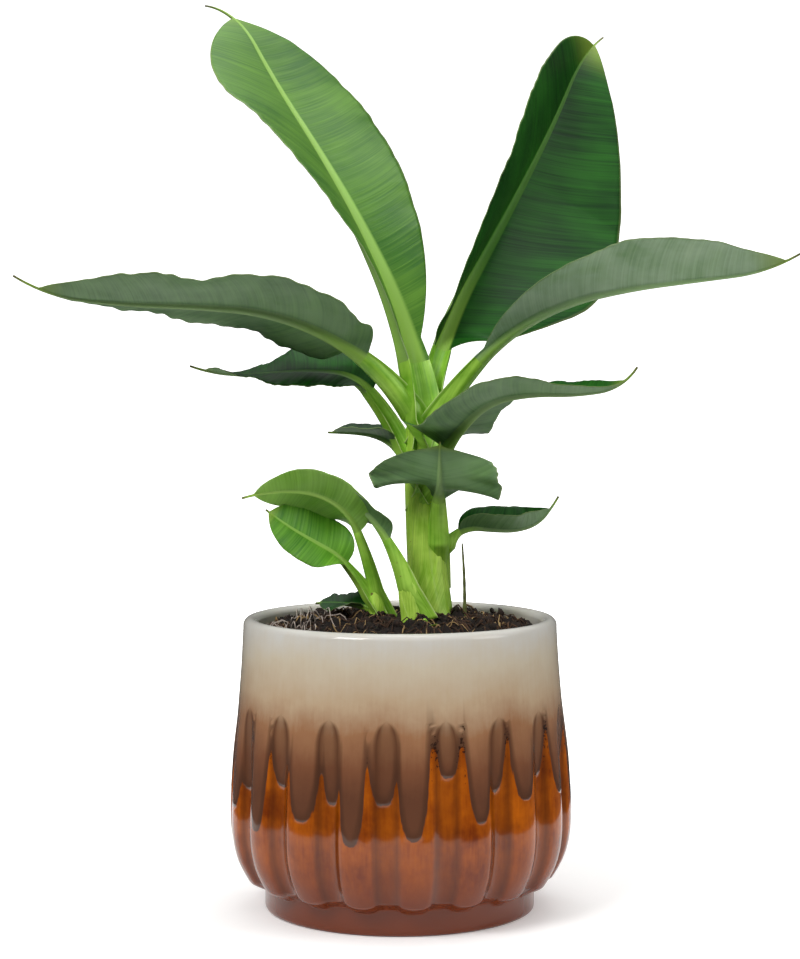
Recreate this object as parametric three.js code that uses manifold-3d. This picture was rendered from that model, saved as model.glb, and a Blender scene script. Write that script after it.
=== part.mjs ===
// Potted banana plant. Millimetres, +Z up, origin at the centre of the pot's flat underside.
// +X is the plant's right as it is met from the front, +Y goes away behind it.
import * as THREE from 'three'
import Module from 'manifold-3d'

const wasm = await Module()
wasm.setup()

// ---- driving sizes ------------------------------------------------------------------------
const GAP = 0.35
const TRIM = 0.06

const POT = {
  height: 234,
  rimRadius: 127.5,
  footRadius: 108.5,
  footHeight: 16,
  footEdge: 3,
  wall: 11,
  floor: 12,
  lipRadius: 6,
  flutes: 18,
  fluteDepth: 4.2,
  fluteTop: 166,
  fluteFade: 22,
  fluteTurn: -4.5,
  pointsPerFlute: 3,
  innerHeights: [206, 160, 72, 40, 22]
}

const SOIL = { edge: 221, mound: 234, wallGap: 0.8, rings: 4, around: 24 }

const STEM = {
  foot: [24, 16],
  sink: 12,
  top: 402,
  lean: [-9, -3],
  footRadius: 16.2,
  waistRadius: 14.6,
  crownRadius: 11.5,
  sides: 16
}

const BLADE = { sheet: 1.6, endHalf: 1.6, columns: 3 }

// One record for a leaf. base: where the limb leaves its stem. stalk, blade, tail: lengths, the
// tail being the dry thread at the end of the blade. climb and heading: degrees along the limb,
// first at its foot and then at even steps down the blade. roll: turn of the blade about its
// midrib, foot to tip. widths: left and right half. foldL, foldR: how far each half rises out of
// flat, foot to tip. shoulder: share of the blade over which the base widens, and taper how
// slowly it does. full: where the tip starts to draw in. point: how blunt the two halves are at
// the tip. rib: radius of the limb at its foot and where the blade starts. steps: rows of facets.
const LEAVES = {
  tall_left: {
    base: [20, 5, 390], stalk: 50, blade: 433, tail: 45,
    climb: [80, 67, 54, 49, 46, 51, 10], heading: [120, 128, 131, 131],
    roll: [5, 5, 0], widths: [88, 92], foldL: [50, 20, -15], foldR: [40, 14, 0],
    shoulder: 1, taper: 0.9, full: 0.55, point: [2.2, 2.6], rib: [11.5, 10], steps: 16
  },
  tall_right: {
    base: [22, 15, 392], stalk: 62, blade: 406, tail: 20,
    climb: [76, 54, 42, 44, 46, 51, 24], heading: [66, 60, 58, 58],
    roll: [30, 30, 25], widths: [88, 126], foldL: [100, 88, 66], foldR: [10, -8, -5],
    shoulder: 0.6, taper: 0.65, full: 0.25, point: [2.6, 1.2], rib: [8, 6.5], steps: 15
  },
  right_arm: {
    base: [25, 12, 394], stalk: 60, blade: 272, tail: 12,
    climb: [54, 46, 28, 12, 6, 6, 30], heading: [-10, -14, -14, -12],
    roll: [0, 0, 0], widths: [60, 60], foldL: [20, 20, 20], foldR: [42, 45, 45],
    shoulder: 0.85, taper: 0.9, full: 0.5, point: [2, 2], rib: [8.5, 5.5], steps: 13
  },
  left_arm: {
    base: [11, 12, 398], stalk: 60, blade: 288, tail: 22,
    climb: [56, 37, 20, 4, 1, 6, 32], heading: [195, 192, 190, 188],
    roll: [28, 20, 15], widths: [62, 64], foldL: [5, 5, 15], foldR: [5, 15, 18],
    shoulder: 0.35, taper: 0.5, full: 0.4, point: [3, 3], rib: [8.5, 5.5], steps: 13
  },
  low_left: {
    base: [12, 8, 350], stalk: 76, blade: 158, tail: 14,
    climb: [66, 50, 6, -2, -4, 4, 18], heading: [150, 165, 165, 165],
    roll: [-30, -20, 25], widths: [26, 42], foldL: [0, 0, 15], foldR: [0, 10, 10],
    shoulder: 0.4, taper: 0.5, full: 0.5, point: [3, 3], rib: [7, 4.5], steps: 11
  },
  low_right: {
    base: [25, 1, 342], stalk: 32, blade: 180, tail: 14,
    climb: [72, 52, 40, 10, -2, 8, 58], heading: [-35, -40, -20, -8],
    roll: [-8, 5, 15], widths: [34, 57], foldL: [-15, 10, 40], foldR: [-12, 32, 30],
    shoulder: 0.12, taper: 0.5, full: 0.12, point: [2.5, 1.2], rib: [7.5, 4.5], steps: 12
  },
  front_cup: {
    base: [31, 6, 292], stalk: 40, blade: 58, tail: 4,
    climb: [86, 52, 20, 70, 84, 80], heading: [-88, -90, -90],
    roll: [-10, -10, -10], widths: [52, 55], foldL: [-5, -8, -10], foldR: [-5, -5, -5],
    shoulder: 0.6, taper: 0.5, full: 0.6, point: [2.5, 2.5], rib: [7.5, 4.5], steps: 9
  },
  small_right: {
    base: [37, 12, 292], stalk: 15, blade: 92, tail: 12,
    climb: [62, 24, -8, -4, 15, 50, 60], heading: [5, 5, 5],
    roll: [0, 0, 0], widths: [24, 24], foldL: [55, 52, 50], foldR: [35, 38, 45],
    shoulder: 0.4, taper: 0.5, full: 0.5, point: [3, 3], rib: [6, 3], steps: 8
  },
  small_left: {
    base: [14, 14, 346], stalk: 30, blade: 58, tail: 4,
    climb: [68, 40, 20, 5, 0, 0], heading: [172, 172, 172],
    roll: [0, 0, 0], widths: [20, 22], foldL: [18, 18, 18], foldR: [22, 22, 22],
    shoulder: 0.4, taper: 0.5, full: 0.5, point: [3, 3], rib: [6, 3], steps: 8
  },
  pup_low: {
    base: [-24, -18, 252], stalk: 32, blade: 78, tail: 3,
    climb: [60, 48, 30, 30, 34, 40], heading: [182, 190, 195],
    roll: [-50, -60, -60], widths: [22, 28], foldL: [4, 4, 4], foldR: [4, 4, 4],
    shoulder: 0.4, taper: 0.5, full: 0.5, point: [2.5, 2.5], rib: [4.5, 2.6], steps: 8
  },
  pup_bright: {
    base: [-19, -12, 256], stalk: 50, blade: 108, tail: 10,
    climb: [76, 68, 42, 20, 3, -6, -16], heading: [200, 200, 195],
    roll: [35, 45, 45], widths: [26, 22], foldL: [5, 5, 5], foldR: [5, 5, 5],
    shoulder: 0.4, taper: 0.5, full: 0.5, point: [2.5, 2.5], rib: [4.5, 2.6], steps: 8
  },
  pup_arch: {
    base: [8, -27, 260], stalk: 42, blade: 100, tail: 6,
    climb: [72, 58, 46, 14, -10, -18], heading: [172, 165, 165],
    roll: [30, 28, 20], widths: [22, 26], foldL: [5, 5, 5], foldR: [5, 5, 5],
    shoulder: 0.4, taper: 0.5, full: 0.5, point: [3, 3], rib: [7, 3.5], steps: 10
  },
  cut_leaf: {
    base: [-15, -7, 236], stalk: 16, blade: 40, tail: 3,
    climb: [35, 12, 4, 0, -4], heading: [158, 166, 172], roll: [-12, -18, -18],
    widths: [13, 15], foldL: [5, 5, 5], foldR: [5, 5, 5],
    shoulder: 0.3, taper: 0.5, full: 0.7, point: [3, 3], rib: [3.5, 2.2], steps: 6
  }
}

// Stems of the two side shoots: foot and head of each, with the radius there.
const PUPS = {
  pup_stem_left: { foot: [-14, -12], sink: 10, head: [-22, -16, 262], radii: [7.4, 5.2] },
  pup_stem_right: { foot: [12, -27], sink: 10, head: [4, -29, 276], radii: [9, 7.4] }
}

const SPIKE = { foot: [52, 8], top: 292, lean: [-2, 0], radii: [1.7, 0.7] }
const STUB = { foot: [19, -38], top: 235, lean: [-3, 2], radii: [6, 4.6] }

// Outer radius of the pot at heights above its underside, between the foot and the rim.
const POT_SIDE = [
  [16, 108.5], [20, 112], [29, 120.5], [42, 129.6], [56, 134], [72, 135.5],
  [105, 134.2], [152, 130.6], [176, 128.6], [206, 126.6], [224, 125.6]
]

const COLOURS = {
  glaze: '#b98a5c',
  soil: '#33241b',
  stem: '#86b046',
  limb: '#8fbd52',
  blade: '#3f6f35',
  paleBlade: '#6f9c45',
  dry: '#7d6a45'
}

// ---- small helpers ------------------------------------------------------------------------
const { clamp, degToRad, lerp } = THREE.MathUtils

// value, at a share 0..1, of a list standing at even steps
function along(list, share) {
  const at = clamp(share, 0, 1) * (list.length - 1)
  const low = Math.min(Math.floor(at), list.length - 2)
  return lerp(list[low], list[low + 1], at - low)
}

// closed solid over rings of equal count, each ring a loop; both ends are closed flat
function loft(rings) {
  const count = rings[0].length
  const points = rings.flat()
  const faces = []
  for (let row = 0; row + 1 < rings.length; row++) {
    for (let i = 0; i < count; i++) {
      const a = row * count + i
      const b = row * count + (i + 1) % count
      faces.push(a, b, b + count, a, b + count, a + count)
    }
  }
  const last = (rings.length - 1) * count
  for (const [start, flip] of [[0, true], [last, false]]) {
    const ring = rings[start / count]
    const middle = new THREE.Vector3()
    ring.forEach((p) => middle.addScaledVector(p, 1 / count))
    const hub = points.push(middle) - 1
    for (let i = 0; i < count; i++) {
      const a = start + i
      const b = start + (i + 1) % count
      faces.push(...(flip ? [hub, b, a] : [hub, a, b]))
    }
  }
  return solid(points, faces)
}

// solid of these faces, turned to face outward
function solid(points, faces) {
  const shape = (order) => new wasm.Manifold(new wasm.Mesh({
    numProp: 3,
    vertProperties: new Float32Array(points.flatMap((p) => [p.x, p.y, p.z])),
    triVerts: new Uint32Array(order)
  }))
  const made = shape(faces)
  return made.volume() > 0 ? made : shape(faces.toReversed())
}

// ring of points about a centre, in the plane of two directions
function ring(centre, sideways, upward, radius, count) {
  const loop = []
  for (let i = 0; i < count; i++) {
    const turn = (i / count) * Math.PI * 2
    const point = centre.clone()
    point.addScaledVector(sideways, Math.cos(turn) * radius)
    point.addScaledVector(upward, Math.sin(turn) * radius)
    loop.push(point)
  }
  return loop
}

// round tapering post between two points, ended flat and level
function post(foot, head, radii, sides, steps) {
  const rings = []
  for (let i = 0; i <= steps; i++) {
    const share = i / steps
    const centre = foot.clone().lerp(head, share)
    const radius = along(radii, share)
    rings.push(ring(centre, new THREE.Vector3(1, 0, 0), new THREE.Vector3(0, 1, 0), radius, sides))
  }
  return loft(rings)
}

// ---- leaves -------------------------------------------------------------------------------
// The midrib line of a leaf: place and directions at a distance from the limb's foot.
function midrib(leaf) {
  const length = leaf.stalk + leaf.blade
  const angle = (list, s) => {
    const rest = list.slice(1)
    const blade = (s - leaf.stalk) / leaf.blade
    const degrees = s < leaf.stalk ? lerp(list[0], list[1], s / leaf.stalk) : along(rest, blade)
    return degToRad(degrees)
  }
  const forward = (s) => {
    const climb = angle(leaf.climb, s)
    const heading = angle(leaf.heading, s)
    return new THREE.Vector3(
      Math.cos(climb) * Math.cos(heading),
      Math.cos(climb) * Math.sin(heading),
      Math.sin(climb)
    )
  }
  const pace = length / 120
  const stops = [new THREE.Vector3(...leaf.base)]
  for (let i = 0; i < 120; i++) {
    stops.push(stops[i].clone().addScaledVector(forward((i + 0.5) * pace), pace))
  }
  return (s) => {
    const at = clamp(s / pace, 0, 120)
    const low = Math.min(Math.floor(at), 119)
    const ahead = forward(clamp(s, 0, length))
    const place = stops[low].clone().lerp(stops[low + 1], at - low)
    place.addScaledVector(ahead, Math.min(s, 0))
    const heading = angle(leaf.heading, clamp(s, 0, length))
    const roll = degToRad(along(leaf.roll, (s - leaf.stalk) / leaf.blade))
    const level = new THREE.Vector3(-Math.sin(heading), Math.cos(heading), 0)
    const above = ahead.clone().cross(level)
    const side = level.clone().multiplyScalar(Math.cos(roll)).addScaledVector(above, Math.sin(roll))
    const up = above.multiplyScalar(Math.cos(roll)).addScaledVector(level, -Math.sin(roll))
    return { place, side, up }
  }
}

// share of the full half width, at a share of the blade: widening base, full middle, blunt tip
function outline(leaf, share, half) {
  const x = clamp(share / (1 - leaf.tail / leaf.blade), 0, 1)
  const base = (1 - (1 - clamp(x / leaf.shoulder, 0, 1)) ** 2) ** leaf.taper
  const tip = 1 - clamp((x - leaf.full) / (1 - leaf.full), 0, 1) ** leaf.point[half]
  return base * tip ** 0.8
}

function ribRadius(leaf, share) {
  return lerp(leaf.rib[1], BLADE.endHalf, clamp(share, 0, 1) ** 0.7)
}

// thin folded sheet with its keel below; grow swells it on every face
function bladeSolid(leaf, grow = 0) {
  const line = midrib(leaf)
  const shares = []
  for (let i = 0; i <= leaf.steps; i++) shares.push((i / leaf.steps) * (1 - leaf.tail / leaf.blade))
  shares.push(1)
  const half = BLADE.sheet / 2 + grow
  const rings = shares.map((share, row) => {
    const stretch = row === 0 ? -grow : row === shares.length - 1 ? grow : 0
    const { place, side, up } = line(leaf.stalk + share * leaf.blade + stretch)
    const rib = ribRadius(leaf, share)
    const over = []
    const under = []
    for (let k = -BLADE.columns; k <= BLADE.columns; k++) {
      const left = k < 0
      const sign = left ? 1 : -1
      const wide = outline(leaf, share, left ? 0 : 1) * leaf.widths[left ? 0 : 1]
      const reach = (Math.max(wide, rib) * Math.abs(k)) / BLADE.columns + (k ? grow : 0)
      const fold = degToRad(along(left ? leaf.foldL : leaf.foldR, share)) * (k ? 1 : 0)
      const point = place.clone()
      point.addScaledVector(side, sign * reach * Math.cos(fold))
      point.addScaledVector(up, reach * Math.sin(fold))
      const facing = up.clone().multiplyScalar(Math.cos(fold))
      facing.addScaledVector(side, -sign * Math.sin(fold))
      over.push(point.clone().addScaledVector(facing, half))
      under.push(point.clone().addScaledVector(facing, -half - (k ? 0 : rib * 1.5)))
    }
    return [...over, ...under.reverse()]
  })
  return loft(rings)
}

// tapering limb from inside its stem to the start of the blade
function limbSolid(leaf, grow = 0) {
  const line = midrib(leaf)
  const start = -6
  const end = leaf.stalk - GAP - 0.1 + grow
  const steps = Math.max(4, Math.round(leaf.stalk / 16))
  const rings = []
  for (let i = 0; i <= steps; i++) {
    const s = lerp(start, end, i / steps)
    const { place, side, up } = line(s)
    const radius = lerp(leaf.rib[0], leaf.rib[1], clamp(s / leaf.stalk, 0, 1))
    place.addScaledVector(up, -radius * 0.75)
    rings.push(ring(place, side, up, radius + grow, 8))
  }
  return loft(rings)
}

// ---- pot and soil -------------------------------------------------------------------------
function potRadius(height) {
  const next = POT_SIDE.findIndex(([z]) => z >= height)
  if (next <= 0) return POT_SIDE[next === 0 ? 0 : POT_SIDE.length - 1][1]
  const [[z0, r0], [z1, r1]] = [POT_SIDE[next - 1], POT_SIDE[next]]
  return lerp(r0, r1, (height - z0) / (z1 - z0))
}

// how far the surface is drawn in by the upright grooves
function fluteDraw(height, turn) {
  const top = clamp((POT.fluteTop + POT.fluteFade / 2 - height) / POT.fluteFade, 0, 1)
  const foot = clamp((height - POT.footHeight) / 14, 0, 1)
  const wave = 0.5 + 0.5 * Math.cos(POT.flutes * (turn - degToRad(POT.fluteTurn - 90)))
  return POT.fluteDepth * top * foot * wave
}

function potRing(height, radius, fluted) {
  const count = POT.flutes * POT.pointsPerFlute
  const loop = []
  for (let i = 0; i < count; i++) {
    const turn = (i / count) * Math.PI * 2 + degToRad(POT.fluteTurn - 90)
    const r = radius - (fluted ? fluteDraw(height, turn) : 0)
    loop.push(new THREE.Vector3(Math.cos(turn) * r, Math.sin(turn) * r, height))
  }
  return loop
}

function innerRadius(height) {
  return potRadius(height) - POT.wall - (height < POT.fluteTop ? POT.fluteDepth * 0.75 : 0)
}

function potSolid() {
  const rings = [potRing(0, POT.footRadius - POT.footEdge, false)]
  rings.push(potRing(POT.footEdge, POT.footRadius, false))
  POT_SIDE.forEach(([z, r]) => rings.push(potRing(z, r, true)))
  const crest = POT.height - POT.lipRadius
  for (const turn of [15, 60, 105, 150]) {
    const out = POT.rimRadius - 2 - POT.lipRadius + Math.cos(degToRad(turn)) * POT.lipRadius
    rings.push(potRing(crest + Math.sin(degToRad(turn)) * POT.lipRadius, out, false))
  }
  for (const z of POT.innerHeights) rings.push(potRing(z, innerRadius(z), false))
  rings.push(potRing(POT.floor, innerRadius(22) - 12, false))
  return loft(rings)
}

// height of the soil surface: level at the wall, mounded about the stems, a little lumpy
function soilHeight(x, y) {
  const reach = clamp(Math.hypot(x, y) / 113, 0, 1)
  const mound = (SOIL.mound - SOIL.edge) * (1 - reach ** 2.2)
  const lumps = 1.2 * Math.sin(x * 0.11 + 1) * Math.cos(y * 0.13) * (1 - reach ** 6)
  return SOIL.edge + mound + lumps
}

function soilSolid() {
  const rings = []
  const level = (z) => {
    const loop = []
    for (let i = 0; i < SOIL.around; i++) {
      const turn = (i / SOIL.around) * Math.PI * 2
      const r = innerRadius(z) - SOIL.wallGap
      loop.push(new THREE.Vector3(Math.cos(turn) * r, Math.sin(turn) * r, z))
    }
    return loop
  }
  for (const z of POT.innerHeights.toReversed()) rings.push(level(z))
  const rim = innerRadius(SOIL.edge) - SOIL.wallGap - 2
  for (let k = 0; k < SOIL.rings; k++) {
    const r = rim * (1 - k / SOIL.rings)
    const loop = []
    for (let i = 0; i < SOIL.around; i++) {
      const turn = (i / SOIL.around) * Math.PI * 2
      const x = Math.cos(turn) * r
      const y = Math.sin(turn) * r
      loop.push(new THREE.Vector3(x, y, soilHeight(x, y)))
    }
    rings.push(loop)
  }
  return loft(rings)
}

// ---- stems --------------------------------------------------------------------------------
function stemSolid(grow = 0) {
  const [x, y] = STEM.foot
  const soil = soilHeight(x, y)
  const foot = new THREE.Vector3(x, y, soil - STEM.sink - grow)
  const head = new THREE.Vector3(x + STEM.lean[0], y + STEM.lean[1], STEM.top + grow)
  const radii = [STEM.footRadius, STEM.waistRadius, STEM.crownRadius].map((r) => r + grow)
  return post(foot, head, radii, STEM.sides, 6)
}

function pupSolid(pup, grow = 0) {
  const [x, y] = pup.foot
  const foot = new THREE.Vector3(x, y, soilHeight(x, y) - pup.sink - grow)
  const head = new THREE.Vector3(...pup.head)
  head.z += grow
  return post(foot, head, pup.radii.map((r) => r + grow), 12, 4)
}

function pegSolid(peg, grow = 0) {
  const [x, y] = peg.foot
  const foot = new THREE.Vector3(x, y, soilHeight(x, y) - 6 - grow)
  const head = new THREE.Vector3(x + peg.lean[0], y + peg.lean[1], peg.top + grow)
  return post(foot, head, peg.radii.map((r) => r + grow), 8, 3)
}

// ---- the whole plant ----------------------------------------------------------------------
const plant = new THREE.Group()
const placed = []

function meshOf(name, shape, colour, roughness) {
  const data = shape.getMesh()
  const geometry = new THREE.BufferGeometry()
  geometry.setAttribute('position', new THREE.BufferAttribute(new Float32Array(data.vertProperties), 3))
  geometry.setIndex(new THREE.BufferAttribute(new Uint32Array(data.triVerts), 1))
  geometry.computeVertexNormals()
  const material = new THREE.MeshStandardMaterial({ color: colour, roughness, metalness: 0 })
  const mesh = new THREE.Mesh(geometry, material)
  mesh.name = name
  return mesh
}

function biggestPiece(shape) {
  const pieces = shape.decompose()
  pieces.sort((a, b) => b.volume() - a.volume())
  return pieces[0]
}

// adds a node, trimmed clear of every node placed before it
function place(name, make, colour, roughness) {
  let shape = make(0)
  const before = placed.filter((other) => touching(shape.boundingBox(), other.grown.boundingBox()))
  for (const other of before) shape = shape.subtract(other.grown)
  if (before.length) shape = biggestPiece(shape).simplify(TRIM)
  placed.push({ name, grown: make(GAP) })
  plant.add(meshOf(name, shape, colour, roughness))
}

function touching(a, b) {
  return [0, 1, 2].every((axis) => a.min[axis] <= b.max[axis] && b.min[axis] <= a.max[axis])
}

place('main_stem', stemSolid, COLOURS.stem, 0.55)
for (const [name, pup] of Object.entries(PUPS)) {
  place(name, (grow) => pupSolid(pup, grow), COLOURS.stem, 0.55)
}
place('dry_spike', (grow) => pegSolid(SPIKE, grow), COLOURS.dry, 0.9)
place('cut_stub', (grow) => pegSolid(STUB, grow), COLOURS.stem, 0.6)
for (const [name, leaf] of Object.entries(LEAVES)) {
  place(`${name}_limb`, (grow) => limbSolid(leaf, grow), COLOURS.limb, 0.55)
}
for (const [name, leaf] of Object.entries(LEAVES)) {
  const colour = name === 'tall_left' || name.startsWith('pup') ? COLOURS.paleBlade : COLOURS.blade
  place(`${name}_blade`, (grow) => bladeSolid(leaf, grow), colour, 0.45)
}
place('pot', potSolid, COLOURS.glaze, 0.25)
place('soil', soilSolid, COLOURS.soil, 0.95)

export default plant
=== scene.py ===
"""Potted banana plant: the looks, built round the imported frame.

Metres, +Z up, origin at the centre of the pot's flat underside, +Y away behind the plant. Sizes in
the dataclasses are millimetres, as in the part's source, and are turned to metres where used.
"""

import logging
import math
from dataclasses import dataclass, field
from enum import Enum
from typing import Any

import bpy
import numpy as np
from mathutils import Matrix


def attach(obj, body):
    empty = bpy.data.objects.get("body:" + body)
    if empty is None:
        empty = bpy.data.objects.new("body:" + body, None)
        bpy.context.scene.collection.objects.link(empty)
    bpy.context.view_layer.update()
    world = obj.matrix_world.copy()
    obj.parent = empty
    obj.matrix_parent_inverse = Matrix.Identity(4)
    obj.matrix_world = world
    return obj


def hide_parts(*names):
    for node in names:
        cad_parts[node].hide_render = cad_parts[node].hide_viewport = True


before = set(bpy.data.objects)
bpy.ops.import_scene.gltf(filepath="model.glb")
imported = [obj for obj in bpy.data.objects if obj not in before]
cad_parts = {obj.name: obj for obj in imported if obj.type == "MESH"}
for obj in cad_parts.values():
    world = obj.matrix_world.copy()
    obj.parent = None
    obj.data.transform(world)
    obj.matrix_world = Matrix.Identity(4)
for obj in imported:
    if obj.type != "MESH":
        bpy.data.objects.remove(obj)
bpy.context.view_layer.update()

MM = 0.001
LOG = logging.getLogger("banana_plant")
Array = np.ndarray
Colour = tuple[float, float, float, float]

# blades, in millimetres: side veins run out by the distance from the midrib times the sweep, plus
# its square times the bend; the main ones swell the skin once a pitch. Half a blade's thickness,
# and how deep the midrib stands below, in its own radii.
VEIN_SWEEP, VEIN_BEND, VEIN_PITCH = 0.18, 0.0035, 7.3
BLADE_HALF, KEEL = 0.28, 1.45

# node settings that many finishes share
COLOURS = {"data_type": "RGBA"}
SOFT_STEP = {"interpolation_type": "SMOOTHSTEP"}
MULTIPLY = {"operation": "MULTIPLY"}
DIVIDE = {"operation": "DIVIDE"}
SCALE_ADD = {"operation": "MULTIPLY_ADD"}


# ---- shared helpers -------------------------------------------------------------------------
def linear(code: str) -> Colour:
    """Turns an sRGB hex colour into linear RGBA.

    Args:
        code: six hex digits after a hash.

    Returns:
        Linear red, green and blue, and an alpha of 1.
    """
    parts = [int(code[i : i + 2], 16) / 255 for i in (1, 3, 5)]
    toned = [c / 12.92 if c <= 0.04045 else ((c + 0.055) / 1.055) ** 2.4 for c in parts]
    return (toned[0], toned[1], toned[2], 1.0)


def add_node(
    tree: bpy.types.NodeTree, kind: str, settings: dict[str, Any] | None = None,
    inputs: dict[Any, Any] | None = None, out: int | str = 0,
) -> Any:
    """Adds a node, sets it, and links or fills its inputs.

    Args:
        tree: the node tree.
        kind: the node's Blender type.
        settings: attributes of the node.
        inputs: input name or number, to a socket that is linked or a value that is set.
        out: the output to give back.

    Returns:
        That output socket, or the node itself where it has none.
    """
    node = tree.nodes.new(kind)
    for key, value in (settings or {}).items():
        setattr(node, key, value)
    for key, value in (inputs or {}).items():
        if isinstance(value, bpy.types.NodeSocket):
            tree.links.new(value, node.inputs[key])
        else:
            node.inputs[key].default_value = value
    return node.outputs[out] if len(node.outputs) else node


def smooth(low: float, high: float, value: Array) -> Array:
    """Eases from 0 at low to 1 at high, as 3t squared less 2t cubed."""
    t = np.clip((value - low) / (high - low), 0, 1)
    return t * t * (3 - 2 * t)


def rounded_line(stations: list[tuple[float, float]], at: Array) -> Array:
    """Value at given places of a soft curve through stations, by cubic pieces whose slope at a
    station is the mean of the slopes on its two sides.

    Args:
        stations: place and value, in rising order of place.
        at: the places wanted.

    Returns:
        The values there.
    """
    xs, ys = np.array(stations, float).T
    rise = np.diff(ys) / np.diff(xs)
    slope = np.concatenate([[rise[0]], (rise[1:] + rise[:-1]) / 2, [rise[-1]]])
    i = np.clip(np.searchsorted(xs, at) - 1, 0, len(xs) - 2)
    width = xs[i + 1] - xs[i]
    t = np.clip((at - xs[i]) / width, 0, 1)
    a = (1 + 2 * t) * (1 - t) ** 2 * ys[i] + t * (1 - t) ** 2 * width * slope[i]
    b = t * t * (3 - 2 * t) * ys[i + 1] + t * t * (t - 1) * width * slope[i + 1]
    return a + b


def grid_faces(rows: int, columns: int, closed: bool) -> Array:
    """Quads over a grid of points, row by row.

    Args:
        rows: rows of points.
        columns: points in a row.
        closed: whether the last column joins the first.

    Returns:
        One row of four point numbers for each quad.
    """
    span = columns if closed else columns - 1
    r, c = np.meshgrid(np.arange(rows - 1), np.arange(span), indexing="ij")
    a = r * columns + c
    b = r * columns + (c + 1) % columns
    return np.stack([a, b, b + columns, a + columns], -1).reshape(-1, 4)


def end_fans(rows: int, around: int) -> list[Array]:
    """Triangles that close the first and the last ring of a grid, round the two points that come
    after the grid's own.

    Args:
        rows: rings of points.
        around: points in a ring.

    Returns:
        The faces about the first of the two points, then about the second.
    """
    a = np.arange(around)
    b = (a + 1) % around
    size, last = rows * around, (rows - 1) * around
    start = np.stack([np.full(around, size), b, a], -1)
    finish = np.stack([np.full(around, size + 1), last + a, last + b], -1)
    return [start, finish]


def make_piece(
    name: str, points: Array, faces: list[Array], materials: list[bpy.types.Material],
    picks: list[Array] | None = None, facts: dict[str, Array] | None = None,
) -> bpy.types.Object:
    """Puts arrays of points and faces into one smooth-shaded object at the origin.

    Args:
        name: the piece's name.
        points: N by 3 places in metres.
        faces: face arrays, each of one corner count.
        materials: the piece's materials.
        picks: for each face array, the material number of each face.
        facts: per-point values kept as attributes: N for a number, N by 3 for a vector.

    Returns:
        The new object, riding on the frame's only body.
    """
    counts = np.concatenate([np.full(len(f), f.shape[1], np.int32) for f in faces])
    corners = np.concatenate([f.ravel() for f in faces]).astype(np.int32)
    mesh = bpy.data.meshes.new(name)
    mesh.vertices.add(len(points))
    mesh.vertices.foreach_set("co", np.ascontiguousarray(points, np.float32).ravel())
    mesh.loops.add(len(corners))
    mesh.loops.foreach_set("vertex_index", corners)
    mesh.polygons.add(len(counts))
    starts = np.concatenate([[0], np.cumsum(counts)[:-1]]).astype(np.int32)
    mesh.polygons.foreach_set("loop_start", starts)
    for material in materials:
        mesh.materials.append(material)
    if picks is not None:
        mesh.polygons.foreach_set("material_index", np.concatenate(picks).astype(np.int32))
    mesh.polygons.foreach_set("use_smooth", np.ones(len(counts), bool))
    for key, values in (facts or {}).items():
        vector = values.ndim == 2
        kept = mesh.attributes.new(key, "FLOAT_VECTOR" if vector else "FLOAT", "POINT")
        kept.data.foreach_set("vector" if vector else "value", values.astype(np.float32).ravel())
    mesh.update(calc_edges=True)
    mesh.validate(clean_customdata=False)
    piece = bpy.data.objects.new(name, mesh)
    bpy.context.scene.collection.objects.link(piece)
    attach(piece, "root")
    LOG.info("%s: %d points, %d faces", name, len(points), len(counts))
    return piece


# ---- finishes -------------------------------------------------------------------------------
def new_material(name: str) -> tuple[bpy.types.Material, bpy.types.NodeTree]:
    """Makes an empty node material of that name and gives it with its tree."""
    material = bpy.data.materials.new(name)
    material.use_nodes = True
    material.node_tree.nodes.clear()
    return material, material.node_tree


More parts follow.
